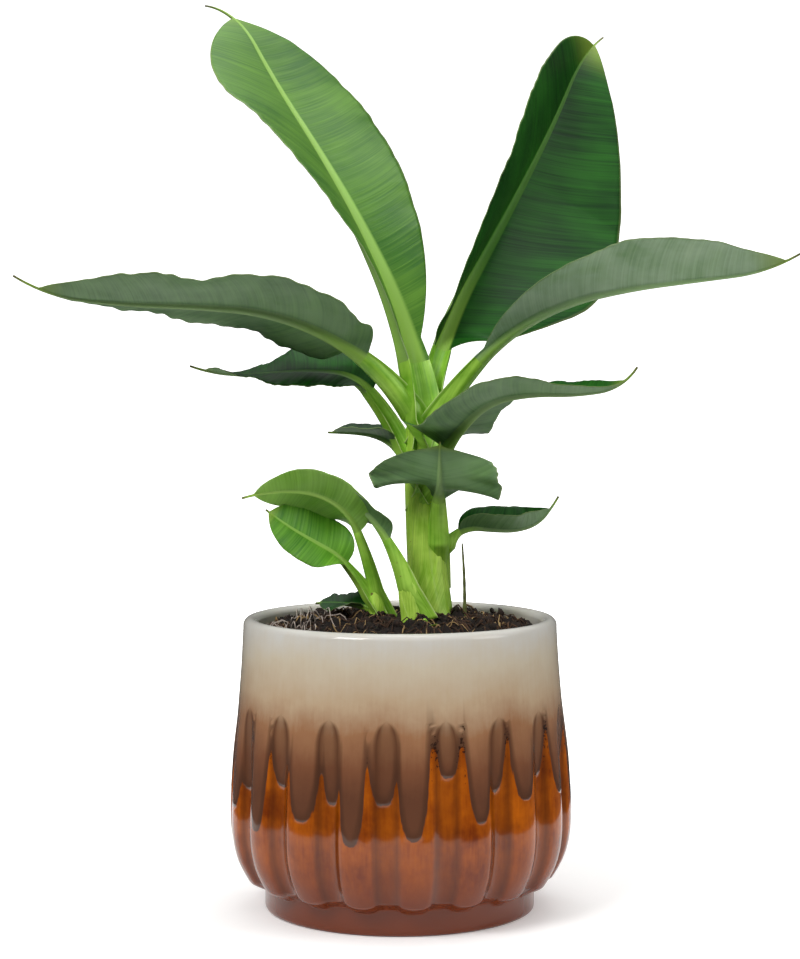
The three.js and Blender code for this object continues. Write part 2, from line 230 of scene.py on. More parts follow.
@dataclass(frozen=True)
class LeafFinish:
    """One face of a banana blade. Leaf cuticle: a thin waxy skin over fine parallel side veins
    that leave the midrib almost square. The upper skin is glossy, the lower has a grey bloom.

    The pattern reads the piece's own attributes: leaf_flow is across, along and rib share, in
    millimetres but for the last; leaf_rim is share of the half width, share of the blade, seed.
    """

    name: str
    deep: str
    pale: str
    rib: str
    through: str
    roughness: float
    coat: float
    vein_depth: float
    bloom: str | None = None
    shine: float = 0.38
    rib_edges: tuple[float, float] = (0.75, 1.25)

    def build(self) -> bpy.types.Material:
        """Makes the node material.

        Returns:
            The finished material.
        """
        material, tree = new_material(self.name)
        flow = add_node(tree, "ShaderNodeAttribute", {"attribute_name": "leaf_flow"}, out="Vector")
        rim = add_node(tree, "ShaderNodeAttribute", {"attribute_name": "leaf_rim"}, out="Vector")
        flow_parts = add_node(tree, "ShaderNodeSeparateXYZ", inputs={0: flow}).node
        rim_parts = add_node(tree, "ShaderNodeSeparateXYZ", inputs={0: rim}).node
        across = add_node(tree, "ShaderNodeMath", {"operation": "ABSOLUTE"}, {0: flow_parts.outputs[0]})
        # side veins sweep a little towards the tip as they go out
        square = add_node(tree, "ShaderNodeMath", MULTIPLY, {0: across, 1: across})
        bend = add_node(
            tree, "ShaderNodeMath", SCALE_ADD, {0: square, 1: -VEIN_BEND, 2: flow_parts.outputs[1]},
        )
        line = add_node(tree, "ShaderNodeMath", SCALE_ADD, {0: across, 1: -VEIN_SWEEP, 2: bend})
        # main side veins about 7 mm apart and fine ones about 1.4 mm apart, both very long
        streaks = []
        for pitch, length, detail in ((7.0, 160.0, 2.0), (1.4, 70.0, 1.0)):
            place = add_node(
                tree,
                "ShaderNodeCombineXYZ",
                inputs={
                    0: add_node(tree, "ShaderNodeMath", DIVIDE, {0: line, 1: pitch}),
                    1: add_node(tree, "ShaderNodeMath", DIVIDE, {0: flow_parts.outputs[0], 1: length}),
                    2: rim_parts.outputs[2],
                },
            )
            streaks.append(
                add_node(
                    tree, "ShaderNodeTexNoise",
                    inputs={"Vector": place, "Scale": 1.0, "Detail": detail, "Roughness": 0.5},
                )
            )
        where = add_node(tree, "ShaderNodeTexCoord", out="Object")
        cloud = add_node(
            tree, "ShaderNodeTexNoise",
            inputs={"Vector": where, "Scale": 16.0, "Detail": 2.0, "Roughness": 0.5},
        )
        calm = add_node(tree, "ShaderNodeMath", MULTIPLY, {0: cloud, 1: 0.5})
        mixed = add_node(tree, "ShaderNodeMath", SCALE_ADD, {0: streaks[0], 1: 0.26, 2: calm})
        mixed = add_node(tree, "ShaderNodeMath", SCALE_ADD, {0: streaks[1], 1: 0.36, 2: mixed})
        tone = add_node(tree, "ShaderNodeMapRange", inputs={0: mixed, 1: 0.43, 2: 0.7, 3: 0.0, 4: 1.0})
        skin = add_node(
            tree, "ShaderNodeMix", COLOURS, {0: tone, 6: linear(self.deep), 7: linear(self.pale)},
            out=2,
        )
        if self.bloom is not None:
            # waxy bloom, rubbed thin in soft patches some 30 mm wide; in the satin-lit finish its pale
            # colour is painted light as well
            patch = add_node(
                tree, "ShaderNodeTexNoise",
                inputs={"Vector": where, "Scale": 32.0, "Detail": 3.0, "Roughness": 0.6},
            )
            veil = add_node(
                tree, "ShaderNodeMapRange", inputs={0: patch, 1: 0.3, 2: 0.7, 3: 0.15, 4: 0.6},
            )
            skin = add_node(
                tree, "ShaderNodeMix", COLOURS, {0: veil, 6: skin, 7: linear(self.bloom)}, out=2,
            )
        rib = add_node(
            tree, "ShaderNodeMapRange", SOFT_STEP,
            {0: flow_parts.outputs[2], 1: self.rib_edges[0], 2: self.rib_edges[1], 3: 1.0, 4: 0.0},
        )
        # next to the stalk the midrib is as light as the stalk itself
        fresh = add_node(
            tree, "ShaderNodeMapRange", SOFT_STEP,
            {0: rim_parts.outputs[1], 1: 0.0, 2: 0.3, 3: 1.0, 4: 0.0},
        )
        rib_tone = add_node(
            tree, "ShaderNodeMix", COLOURS, {0: fresh, 6: linear(self.rib), 7: linear("#9cc954")},
            out=2,
        )
        # painted highlight: a pale line about half a millimetre wide along the very edge of the blade,
        # where the thin margin catches the light
        edge = add_node(
            tree, "ShaderNodeMapRange",
            inputs={0: rim_parts.outputs[0], 1: 0.97, 2: 0.995, 3: 0.0, 4: 0.4},
        )
        # the last tenth has turned yellow green, and the thread at the tip is dead and brown
        ripe = add_node(
            tree, "ShaderNodeMapRange", SOFT_STEP,
            {0: rim_parts.outputs[1], 1: 0.84, 2: 0.96, 3: 0.0, 4: 0.75},
        )
        dry = add_node(
            tree, "ShaderNodeMapRange",
            inputs={0: rim_parts.outputs[1], 1: 0.955, 2: 1.0, 3: 0.0, 4: 0.9},
        )
        layers = (
            (rib, rib_tone),
            (edge, linear("#b9c987")),
            (ripe, linear("#9fbf46")),
            (dry, linear("#6b5a38")),
        )
        for share, colour in layers:
            skin = add_node(tree, "ShaderNodeMix", COLOURS, {0: share, 6: skin, 7: colour}, out=2)
        relief = add_node(tree, "ShaderNodeMath", SCALE_ADD, {0: streaks[1], 1: 0.35, 2: streaks[0]})
        bump = add_node(
            tree, "ShaderNodeBump",
            inputs={"Height": relief, "Strength": 0.4, "Distance": self.vein_depth * MM},
        )
        gloss = add_node(
            tree, "ShaderNodeMapRange",
            inputs={0: cloud, 1: 0.3, 2: 0.7, 3: self.roughness - 0.05, 4: self.roughness + 0.08},
        )
        body = add_node(
            tree,
            "ShaderNodeBsdfPrincipled",
            inputs={
                "Base Color": skin,
                "Roughness": gloss,
                "IOR": 1.42,
                "Specular IOR Level": self.shine,
                "Coat Weight": self.coat,
                "Coat Roughness": 0.22,
                "Normal": bump,
            },
        )
        glow_colour = add_node(
            tree, "ShaderNodeMix", {"data_type": "RGBA", "blend_type": "MULTIPLY"},
            {0: 0.5, 6: linear(self.through), 7: skin}, out=2,
        )
        glow = add_node(
            tree, "ShaderNodeBsdfTranslucent", inputs={"Color": glow_colour, "Normal": bump},
        )
        both = add_node(tree, "ShaderNodeMixShader", inputs={0: 0.16, 1: body, 2: glow})
        add_node(tree, "ShaderNodeOutputMaterial", inputs={"Surface": both})
        return material


@dataclass(frozen=True)
class StalkFinish:
    """Leaf stalks and the sheaths of the false trunk: juicy green tissue with fine long fibres,
    satin from its wax, with pale thin edges and a few small brown scars.

    leaf_flow holds across and along in millimetres, and leaf_rim first how near a sheath edge is.
    """

    name: str
    green: str
    light: str
    edge: str
    scar: str
    scar_share: float
    roughness: float = 0.42

    def build(self) -> bpy.types.Material:
        """Makes the node material.

        Returns:
            The finished material.
        """
        material, tree = new_material(self.name)
        flow = add_node(tree, "ShaderNodeAttribute", {"attribute_name": "leaf_flow"}, out="Vector")
        rim = add_node(tree, "ShaderNodeAttribute", {"attribute_name": "leaf_rim"}, out="Vector")
        parts = add_node(tree, "ShaderNodeSeparateXYZ", inputs={0: flow}).node
        edge = add_node(tree, "ShaderNodeSeparateXYZ", inputs={0: rim}).node
        # fibres about 0.9 mm apart and 60 mm long
        place = add_node(
            tree,
            "ShaderNodeCombineXYZ",
            inputs={
                0: add_node(tree, "ShaderNodeMath", DIVIDE, {0: parts.outputs[0], 1: 0.9}),
                1: add_node(tree, "ShaderNodeMath", DIVIDE, {0: parts.outputs[1], 1: 60.0}),
                2: edge.outputs[2],
            },
        )
        fibre = add_node(
            tree, "ShaderNodeTexNoise", inputs={"Vector": place, "Scale": 1.0, "Detail": 2.0},
        )
        where = add_node(tree, "ShaderNodeTexCoord", out="Object")
        cloud = add_node(
            tree, "ShaderNodeTexNoise",
            inputs={"Vector": where, "Scale": 38.0, "Detail": 3.0, "Roughness": 0.55},
        )
        tone = add_node(tree, "ShaderNodeMath", SCALE_ADD, {0: fibre, 1: 0.6, 2: cloud})
        share = add_node(tree, "ShaderNodeMapRange", inputs={0: tone, 1: 0.62, 2: 0.98})
        skin = add_node(
            tree, "ShaderNodeMix", COLOURS,
            {0: share, 6: linear(self.green), 7: linear(self.light)}, out=2,
        )
        rim_share = add_node(
            tree, "ShaderNodeMapRange",
            inputs={0: edge.outputs[0], 1: 0.86, 2: 0.97, 3: 0.0, 4: 0.8},
        )
        # scars: flecks some 3 mm wide where a fine noise stands high
        fleck = add_node(
            tree, "ShaderNodeTexNoise",
            inputs={"Vector": where, "Scale": 210.0, "Detail": 2.0, "Roughness": 0.6},
        )
        patch = add_node(tree, "ShaderNodeMath", SCALE_ADD, {0: cloud, 1: 0.7, 2: fleck})
        scar = add_node(
            tree, "ShaderNodeMapRange",
            inputs={0: patch, 1: 1.13 - self.scar_share, 2: 1.19 - self.scar_share, 3: 0, 4: 0.9},
        )
        for share, code in ((rim_share, self.edge), (scar, self.scar)):
            skin = add_node(tree, "ShaderNodeMix", COLOURS, {0: share, 6: skin, 7: linear(code)}, out=2)
        bump = add_node(
            tree, "ShaderNodeBump",
            inputs={"Height": fibre, "Strength": 0.35, "Distance": 0.25 * MM},
        )
        body = add_node(
            tree,
            "ShaderNodeBsdfPrincipled",
            inputs={
                "Base Color": skin,
                "Roughness": self.roughness,
                "IOR": 1.42,
                "Coat Weight": 0.15,
                "Coat Roughness": 0.3,
                "Normal": bump,
            },
        )
        add_node(tree, "ShaderNodeOutputMaterial", inputs={"Surface": body})
        return material


@dataclass(frozen=True)
class GlazeFinish:
    """Two reactive glazes over stoneware: cream poured on the rim, breaking through beige and tan
    into taupe drips that ran down over a glossy amber glaze. glaze_run is, in millimetres, the
    depth below the rim, how far the drip goes on below this point, and, third, the share of lobe.
    """

    name: str = "drip_glazed_stoneware"
    white: str = "#d2cfc8"
    cream: str = "#ccbfa8"
    beige: str = "#bca385"
    tan: str = "#9a6e4e"
    taupe: str = "#784c34"
    brown: str = "#603c2a"
    amber: str = "#6e2b02"
    honey: str = "#b65c08"
    red: str = "#6c2c0a"
    dark: str = "#22130c"

    def build(self) -> bpy.types.Material:
        """Makes the node material.

        Returns:
            The finished material.
        """
        material, tree = new_material(self.name)
        run = add_node(tree, "ShaderNodeAttribute", {"attribute_name": "glaze_run"}, out="Vector")
        parts = add_node(tree, "ShaderNodeSeparateXYZ", inputs={0: run}).node
        where = add_node(tree, "ShaderNodeTexCoord", out="Object")
        fine = add_node(
            tree, "ShaderNodeTexNoise",
            inputs={"Vector": where, "Scale": 420.0, "Detail": 4.0, "Roughness": 0.65},
        )
        cloud = add_node(
            tree, "ShaderNodeTexNoise",
            inputs={"Vector": where, "Scale": 26.0, "Detail": 4.0, "Roughness": 0.6},
        )
        # streaks that run down: 3 mm wide, 30 mm long
        long = add_node(
            tree, "ShaderNodeMapping", inputs={"Vector": where, "Scale": (330.0, 330.0, 32.0)},
        )
        streak = add_node(
            tree, "ShaderNodeTexNoise",
            inputs={"Vector": long, "Scale": 1.0, "Detail": 3.0, "Roughness": 0.6},
        )
        # the poured coat: depth below the rim, made uneven by cloud and streaks
        uneven = add_node(
            tree,
            "ShaderNodeMath",
            SCALE_ADD,
            {
                0: add_node(tree, "ShaderNodeMath", SCALE_ADD, {0: streak, 1: 0.3, 2: cloud}),
                1: 30.0,
                2: parts.outputs[0],
            },
        )
        ramp_place = add_node(tree, "ShaderNodeMapRange", inputs={0: uneven, 1: 19.5, 2: 144.5})
        coat_ramp = tree.nodes.new("ShaderNodeValToRGB")
        stops = (
            (0.0, self.white),
            (0.2, self.cream),
            (0.42, self.beige),
            (0.6, self.tan),
            (0.82, self.taupe),
            (1.0, self.brown),
        )
        while len(coat_ramp.color_ramp.elements) < len(stops):
            coat_ramp.color_ramp.elements.new(0.5)
        for element, (place, code) in zip(coat_ramp.color_ramp.elements, stops):
            element.position = place
            element.color = linear(code)
        tree.links.new(ramp_place, coat_ramp.inputs[0])
        # amber under it, honey where it is thick, red brown and milky towards the foot
        mottled = add_node(tree, "ShaderNodeMath", SCALE_ADD, {0: streak, 1: 0.3, 2: cloud})
        thick = add_node(tree, "ShaderNodeMapRange", inputs={0: mottled, 1: 0.46, 2: 0.84})
        amber = add_node(
            tree, "ShaderNodeMix", COLOURS,
            {0: thick, 6: linear(self.amber), 7: linear(self.honey)}, out=2,
        )
        low = add_node(tree, "ShaderNodeMath", SCALE_ADD, {0: cloud, 1: 34.0, 2: parts.outputs[0]})
        foot = add_node(tree, "ShaderNodeMapRange", inputs={0: low, 1: 174.0, 2: 226.0})
        amber = add_node(
            tree, "ShaderNodeMix", COLOURS, {0: foot, 6: amber, 7: linear(self.red)}, out=2,
        )
        # in the grooves the poured coat is thin and brown and the amber pools darker, and both are
        # darkened further as painted shade of the groove walls
        flute = add_node(tree, "ShaderNodeAttribute", {"attribute_name": "glaze_flute"}, out="Vector")
        groove = add_node(tree, "ShaderNodeSeparateXYZ", inputs={0: flute}).node
        thin = add_node(
            tree, "ShaderNodeMapRange", inputs={0: groove.outputs[0], 1: 0.0, 2: 1.0, 3: 0, 4: 0.85},
        )
        coat = add_node(
            tree, "ShaderNodeMix", COLOURS,
            {0: thin, 6: coat_ramp.outputs[0], 7: linear("#50301f")}, out=2,
        )
        # partly amber pooling, partly painted shade in the grooves
        pooled_and_shade = add_node(
            tree, "ShaderNodeMapRange", inputs={0: groove.outputs[0], 1: 0.1, 2: 1, 3: 0, 4: 0.6},
        )
        amber = add_node(
            tree, "ShaderNodeMix", COLOURS, {0: pooled_and_shade, 6: amber, 7: linear("#4a1f04")}, out=2,
        )
        # the drip's own edge: hard, with a soft dark band inside it
        wander = add_node(
            tree,
            "ShaderNodeMath",
            SCALE_ADD,
            {
                0: add_node(tree, "ShaderNodeMath", {"operation": "SUBTRACT"}, {0: streak, 1: 0.5}),
                1: 3.0,
                2: parts.outputs[1],
            },
        )
        over = add_node(tree, "ShaderNodeMapRange", inputs={0: wander, 1: -0.35, 2: 0.35})
        band = add_node(
            tree, "ShaderNodeMapRange", SOFT_STEP, {0: wander, 1: 0.0, 2: 10.0, 3: 0.8, 4: 0.0},
        )
        coat = add_node(tree, "ShaderNodeMix", COLOURS, {0: band, 6: coat, 7: linear("#4a2e20")}, out=2)
        skin = add_node(tree, "ShaderNodeMix", COLOURS, {0: over, 6: amber, 7: coat}, out=2)
        # iron specks gather where the drips part
        gather = add_node(tree, "ShaderNodeMath", SCALE_ADD, {0: parts.outputs[2], 1: 0.27, 2: fine})
        speck = add_node(
            tree, "ShaderNodeMapRange", inputs={0: gather, 1: 0.74, 2: 0.82, 3: 0.0, 4: 0.9},
        )
        skin = add_node(
            tree, "ShaderNodeMix", COLOURS, {0: speck, 6: skin, 7: linear(self.dark)}, out=2,
        )
        gloss = add_node(tree, "ShaderNodeMapRange", inputs={0: foot, 3: 0.1, 4: 0.2})
        bump = add_node(
            tree,
            "ShaderNodeBump",
            inputs={
                "Height": add_node(tree, "ShaderNodeMath", SCALE_ADD, {0: over, 1: 0.7, 2: cloud}),
                "Strength": 0.08,
                "Distance": 0.5 * MM,
            },
        )
        body = add_node(
            tree,
            "ShaderNodeBsdfPrincipled",
            inputs={
                "Base Color": skin,
                "Roughness": gloss,
                "IOR": 1.5,
                "Specular IOR Level": 0.36,
                "Coat Weight": 0.14,
                "Coat Roughness": 0.06,
                "Normal": bump,
            },
        )
        add_node(tree, "ShaderNodeOutputMaterial", inputs={"Surface": body})
        return material


@dataclass(frozen=True)
class EarthFinish:
    """Loose matter: peat soil, crumbs, straw, roots and dead leaf. Matt and uneven in tone, with
    grain of about a millimetre."""

    name: str
    dark: str
    light: str
    grain: float
    relief: float
    roughness: float = 0.92

    def build(self) -> bpy.types.Material:
        """Makes the node material.

        Returns:
            The finished material.
        """
        material, tree = new_material(self.name)
        where = add_node(tree, "ShaderNodeTexCoord", out="Object")
        fine = add_node(
            tree, "ShaderNodeTexNoise",
            inputs={"Vector": where, "Scale": 1000.0 / self.grain, "Detail": 4.0, "Roughness": 0.7},
        )
        broad = add_node(
            tree, "ShaderNodeTexNoise", inputs={"Vector": where, "Scale": 45.0, "Detail": 3.0},
        )
        tone = add_node(tree, "ShaderNodeMath", SCALE_ADD, {0: broad, 1: 0.8, 2: fine})
        share = add_node(tree, "ShaderNodeMapRange", inputs={0: tone, 1: 0.7, 2: 1.15})
        skin = add_node(
            tree, "ShaderNodeMix", COLOURS, {0: share, 6: linear(self.dark), 7: linear(self.light)},
            out=2,
        )
        bump = add_node(
            tree, "ShaderNodeBump",
            inputs={"Height": fine, "Strength": 0.7, "Distance": self.relief * MM},
        )
        body = add_node(
            tree, "ShaderNodeBsdfPrincipled",
            inputs={"Base Color": skin, "Roughness": self.roughness, "Normal": bump},
        )
        add_node(tree, "ShaderNodeOutputMaterial", inputs={"Surface": body})
        return material


@dataclass(frozen=True)
class BackdropFinish:
    """The sweep of pale paper the pot stands on: matt, even, and lit a little from behind."""

    name: str = "studio_paper"
    tone: str = "#fbfbfa"
    glow: float = 0.36

    def build(self) -> bpy.types.Material:
        """Makes the node material.

        Returns:
            The finished material.
        """
        material, tree = new_material(self.name)
        body = add_node(
            tree,
            "ShaderNodeBsdfPrincipled",
            inputs={
                "Base Color": linear(self.tone),
                "Roughness": 0.8,
                "Specular IOR Level": 0.1,
                "Emission Color": linear("#ffffff"),
                "Emission Strength": self.glow,
            },
        )
        add_node(tree, "ShaderNodeOutputMaterial", inputs={"Surface": body})
        return material


# ---- leaves ---------------------------------------------------------------------------------
class Tone(Enum):
    """Which pair of blade finishes a leaf wears."""

    SUNLIT = "sunlit"
    DEEP = "deep"
    # painted light: a lighter copy of the deep pair for the right arm, standing in for the satin light
    # on it
    SATIN_LIT = "pale"
    YOUNG = "young"


@dataclass(frozen=True)
class Leaf:
    """One leaf: stalk, midrib and blade in a single closed skin.

    base: where the stalk leaves its stem. stalk, blade, tail: lengths, the tail being the dry
    thread at the end of the blade. climb, heading: degrees along the stalk, first at its foot and
    then at even steps down the blade. roll: turn of the blade about its midrib. widths: left and
    right half. fold_left, fold_right: how far each half rises out of flat, foot to tip. curl:
    further turn of each half from rib to margin. shoulder, taper: length and slowness of the
    base's widening. full: where the tip starts to draw in. point: bluntness of the two halves.
    rib: radius of the stalk at its foot and where the blade starts. ruffle: height of the waves
    of the margin, and waves how many there are. sheath: how far the stalk goes on down into the
    stem below its foot, and wrap how wide it ends there, in radii of the foot.
    """

    name: str
    base: tuple[float, float, float]
    stalk: float
    blade: float
    tail: float
    climb: tuple[float, ...]
    heading: tuple[float, ...]
    roll: tuple[float, ...]
    widths: tuple[float, float]
    fold_left: tuple[float, ...]
    fold_right: tuple[float, ...]
    shoulder: float
    taper: float
    full: float
    point: tuple[float, float]
    rib: tuple[float, float]
    tone: Tone = Tone.SUNLIT
    curl: tuple[float, float] = (0.0, 0.0)
    ruffle: float = 2.0
    waves: float = 6.0
    seed: int = 1
    sheath: float = 26.0
    wrap: float = 1.4

    def spine(self, s: Array) -> tuple[Array, Array, Array]:
        """Midline of the leaf and the frame it carries: the two angles are read off evenly, the
        direction they give is added up from the foot, and the frame is turned by the roll.

        Args:
            s: distance along, 0 where the blade starts and less on the stalk.

        Returns:
            Places, the leaf's left, and the leaf's up, each N by 3.
        """
        blade_at = np.linspace(0, self.blade, len(self.climb) - 1)
        climb_at = np.concatenate([[-self.stalk], blade_at])
        blade_at = np.linspace(0, self.blade, len(self.heading) - 1)
        heading_at = np.concatenate([[-self.stalk], blade_at])
        fine = np.linspace(-self.stalk, self.blade, 900)

        def aim(at: Array) -> tuple[Array, Array]:
            """Direction and level left at distances along."""
            c = np.radians(np.interp(at, climb_at, self.climb))
            h = np.radians(np.interp(at, heading_at, self.heading))
            ahead = np.stack([np.cos(c) * np.cos(h), np.cos(c) * np.sin(h), np.sin(c)], -1)
            return ahead, np.stack([-np.sin(h), np.cos(h), np.zeros_like(h)], -1)

        steps = aim((fine[1:] + fine[:-1]) / 2)[0] * np.diff(fine)[:, None]
        line = np.concatenate([np.zeros((1, 3)), np.cumsum(steps, 0)]) + np.array(self.base)
        place = np.stack([np.interp(s, fine, line[:, k]) for k in range(3)], -1)
        facing = math.radians(self.heading[0])
        inward = np.array([-0.55 * math.cos(facing), -0.55 * math.sin(facing), -1.0])
        place = place + np.clip(-self.stalk - s, 0, None)[:, None] * inward
        ahead, left = aim(s)
        above = np.cross(ahead, left)
        share = np.clip(s / self.blade, 0, 1)
        turn = np.radians(np.interp(share, np.linspace(0, 1, len(self.roll)), self.roll))[:, None]
        side = left * np.cos(turn) + above * np.sin(turn)
        up = above * np.cos(turn) - left * np.sin(turn)
        return place, side, up

    def half_width(self, share: Array, half: int) -> Array:
        """Half width of the blade, as a rounded base times a drawn-in tip.

        Args:
            share: place along the blade, 0 to 1.
            half: 0 for left, 1 for right.

        Returns:
            Millimetres at each place.
        """
        x = np.clip(share / (1 - self.tail / self.blade), 0, 1)
        base = np.clip(x / self.shoulder, 0, 1)
        base = (1 - (1 - base) ** 2) ** self.taper
        tip = np.clip((x - self.full) / (1 - self.full), 0, 1)
        tip = np.clip(1 - tip ** self.point[half], 0, 1) ** 0.8
        return self.widths[half] * base * tip

    def rib_radius(self, s: Array) -> Array:
        """Radius of stalk and midrib: even on the stalk, then thinning down the blade."""
        sunk = -self.stalk - self.sheath
        on_stalk = np.interp(s, [sunk, -self.stalk, 0], [0.4 * self.rib[0], *self.rib])
        share = np.clip(s / self.blade, 0, 1)
        on_blade = self.rib[1] + (0.7 - self.rib[1]) * share ** 0.7
        return np.where(s < 0, on_stalk, on_blade)

    def half(self, s: Array, half: int, lamina: int) -> dict[str, Array]:
        """One half of the cross sections: the fold comes in over the rib, the curl grows with the
        square of the way out, and the surface is their cosines and sines added up outwards. On
        top lie margin waves that grow outwards, a fine crinkle at the very edge and the low swell
        of each main side vein.

        Args:
            s: distances along.
            half: 0 for left, 1 for right.
            lamina: columns beyond the rib.

        Returns:
            x, w, out, rise, slope and swell: rows by columns arrays, w rows by one.
        """
        rng = np.random.default_rng(self.seed * 2 + half)
        share = np.clip(s / self.blade, 0, 1)
        r = self.rib_radius(s)[:, None]
        wing_at = [-self.stalk - self.sheath, -self.stalk, -6, 0.12 * self.blade]
        wings = [self.wrap * self.rib[0], 1.45 * self.rib[0], 1.4 * self.rib[1], self.rib[1]]
        wing = np.maximum(np.interp(s, wing_at, wings)[:, None], 1.08 * r)
        wing = np.where(s[:, None] > 0.12 * self.blade, 1.08 * r, wing)
        body = self.half_width(share, half)[:, None] * (s[:, None] > 0)
        w = np.maximum(body, wing)
        rib_part = np.array([0, 0.3, 0.6, 0.85, 1.0])
        out_part = np.linspace(0, 1, lamina + 1)[1:]
        x = np.concatenate([r * rib_part, r + (w - r) * out_part], 1)
        folds = self.fold_left if half == 0 else self.fold_right
        fold = np.radians(np.interp(share, np.linspace(0, 1, len(folds)), folds))[:, None]
        stalk_mix = smooth(26, -8, s)[:, None]
        fold = fold * (1 - stalk_mix) + math.radians(58) * stalk_mix
        curl = math.radians(self.curl[half]) * (1 - stalk_mix)
        reach = x / w
        slope = fold * smooth(0.15, 1.35, x / r) + curl * reach**2
        middle = (slope[:, 1:] + slope[:, :-1]) / 2
        step = np.diff(x, axis=1)
        start = np.zeros((len(s), 1))
        out = np.concatenate([start, np.cumsum(step * np.cos(middle), 1)], 1)
        rise = np.concatenate([start, np.cumsum(step * np.sin(middle), 1)], 1)
        broad = np.clip(w / self.widths[half], 0, 1)
        phase = rng.uniform(0, 6.28, 3)
        turns = share[:, None] * 6.28 * self.waves
        wave = (
            np.sin(turns + phase[0] + 1.2 * reach)
            + 0.6 * np.sin(1.73 * turns + phase[1])
            + 0.4 * np.sin(2.9 * turns + phase[2])
        )
        crinkle = np.sin(5.3 * turns + phase[2] + 2 * wave) + 0.7 * np.sin(9.1 * turns + phase[0])
        swell = self.ruffle * (0.6 * wave * reach**2.2 + 0.16 * crinkle * reach**5) * broad
        line = s[:, None] - VEIN_SWEEP * x - VEIN_BEND * x * x
        vein = np.sin(line * 6.28 / VEIN_PITCH + 0.8 * np.sin(line * 0.11 + phase[1]))
        swell = swell + 0.11 * vein * smooth(1.1, 2.2, x / r) * (1 - reach**8) * broad
        return {"x": x, "w": w, "r": r, "out": out, "rise": rise, "slope": slope, "swell": swell}

    def build(self, finishes: list[bpy.types.Material]) -> bpy.types.Object:
        """Makes the leaf.

        Args:
            finishes: upper face, under face and stalk.

        Returns:
            The leaf's object.
        """
        big = self.blade > 200
        step = 1.8 if big else 1.5
        lamina = 15 if big else 11
        below = self.stalk + self.sheath
        rows_stalk = max(6, int(below / 2.2))
        rows_blade = int(self.blade / step)
        s = np.concatenate(
            [np.linspace(-below, 0, rows_stalk, False), np.linspace(0, self.blade, rows_blade)]
        )
        place, side, up = self.spine(s)
        tops, unders, flows, rims = [], [], [], []
        share = np.clip(s / self.blade, 0, 1)
        for half in (0, 1):
            part = self.half(s, half, lamina)
            sign = 1 - 2 * half
            x, r, slope = part["x"], part["r"], part["slope"]
            inside = np.clip(1 - (x / r) ** 2, 0, 1)
            stalk_mix = smooth(20, -10, s)[:, None]
            lift = part["swell"] + BLADE_HALF - r * inside * (0.12 + 0.3 * stalk_mix)
            drop = part["swell"] - BLADE_HALF - KEEL * r * np.sqrt(inside)
            normal = (
                -sign * np.sin(slope)[..., None] * side[:, None]
                + np.cos(slope)[..., None] * up[:, None]
            )
            sheet = (
                place[:, None]
                + sign * part["out"][..., None] * side[:, None]
                + part["rise"][..., None] * up[:, None]
            )
            tops.append(sheet + lift[..., None] * normal)
            unders.append(sheet + drop[..., None] * normal)
            along = np.broadcast_to(s[:, None], x.shape)
            flows.append(np.stack([sign * x, along, x / r], -1))
            part_share = np.broadcast_to(share[:, None], x.shape)
            seeds = np.full(x.shape, self.seed * 7.3 + half * 3.1)
            margin = x / part["w"] * (1 - 0.3 * smooth(-34, -4, s) * (s < 0))[:, None]
            rims.append(np.stack([margin, part_share, seeds], -1))

        def ring(pair: list[Array], lower: list[Array]) -> Array:
            """Rows of closed rings: over the top from left to right and back underneath."""
            over = np.concatenate([pair[0][:, ::-1], pair[1][:, 1:]], 1)
            under = np.concatenate([lower[1][:, ::-1], lower[0][:, 1:]], 1)
            return np.concatenate([over, under], 1)

        rings = ring(tops, unders)
        count, around = rings.shape[:2]
        points = rings.reshape(-1, 3)
        ends = np.stack([rings[0].mean(0), rings[-1].mean(0)])
        flow = np.concatenate([ring(flows, flows).reshape(-1, 3), np.zeros((2, 3))])
        rim = np.concatenate([ring(rims, rims).reshape(-1, 3), np.array([[0, 0, 0], [0, 1, 0]])])
        flow[-2, 1], flow[-1, 1] = -self.stalk, self.blade
        column = np.tile(np.arange(around), count - 1)
        row = np.repeat(np.arange(count - 1), around)
        pick = np.where(column < around // 2, 0, 1)
        pick = np.where(s[row] < -2, 2, pick)
        piece = make_piece(
            "leaf_" + self.name, np.concatenate([points, ends]) * MM,
            [grid_faces(count, around, True), *end_fans(count, around)], finishes,
            [pick, np.full(around, 2), np.ones(around, int)], {"leaf_flow": flow, "leaf_rim": rim},
        )
        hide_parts(self.name + "_limb", self.name + "_blade")
        return piece


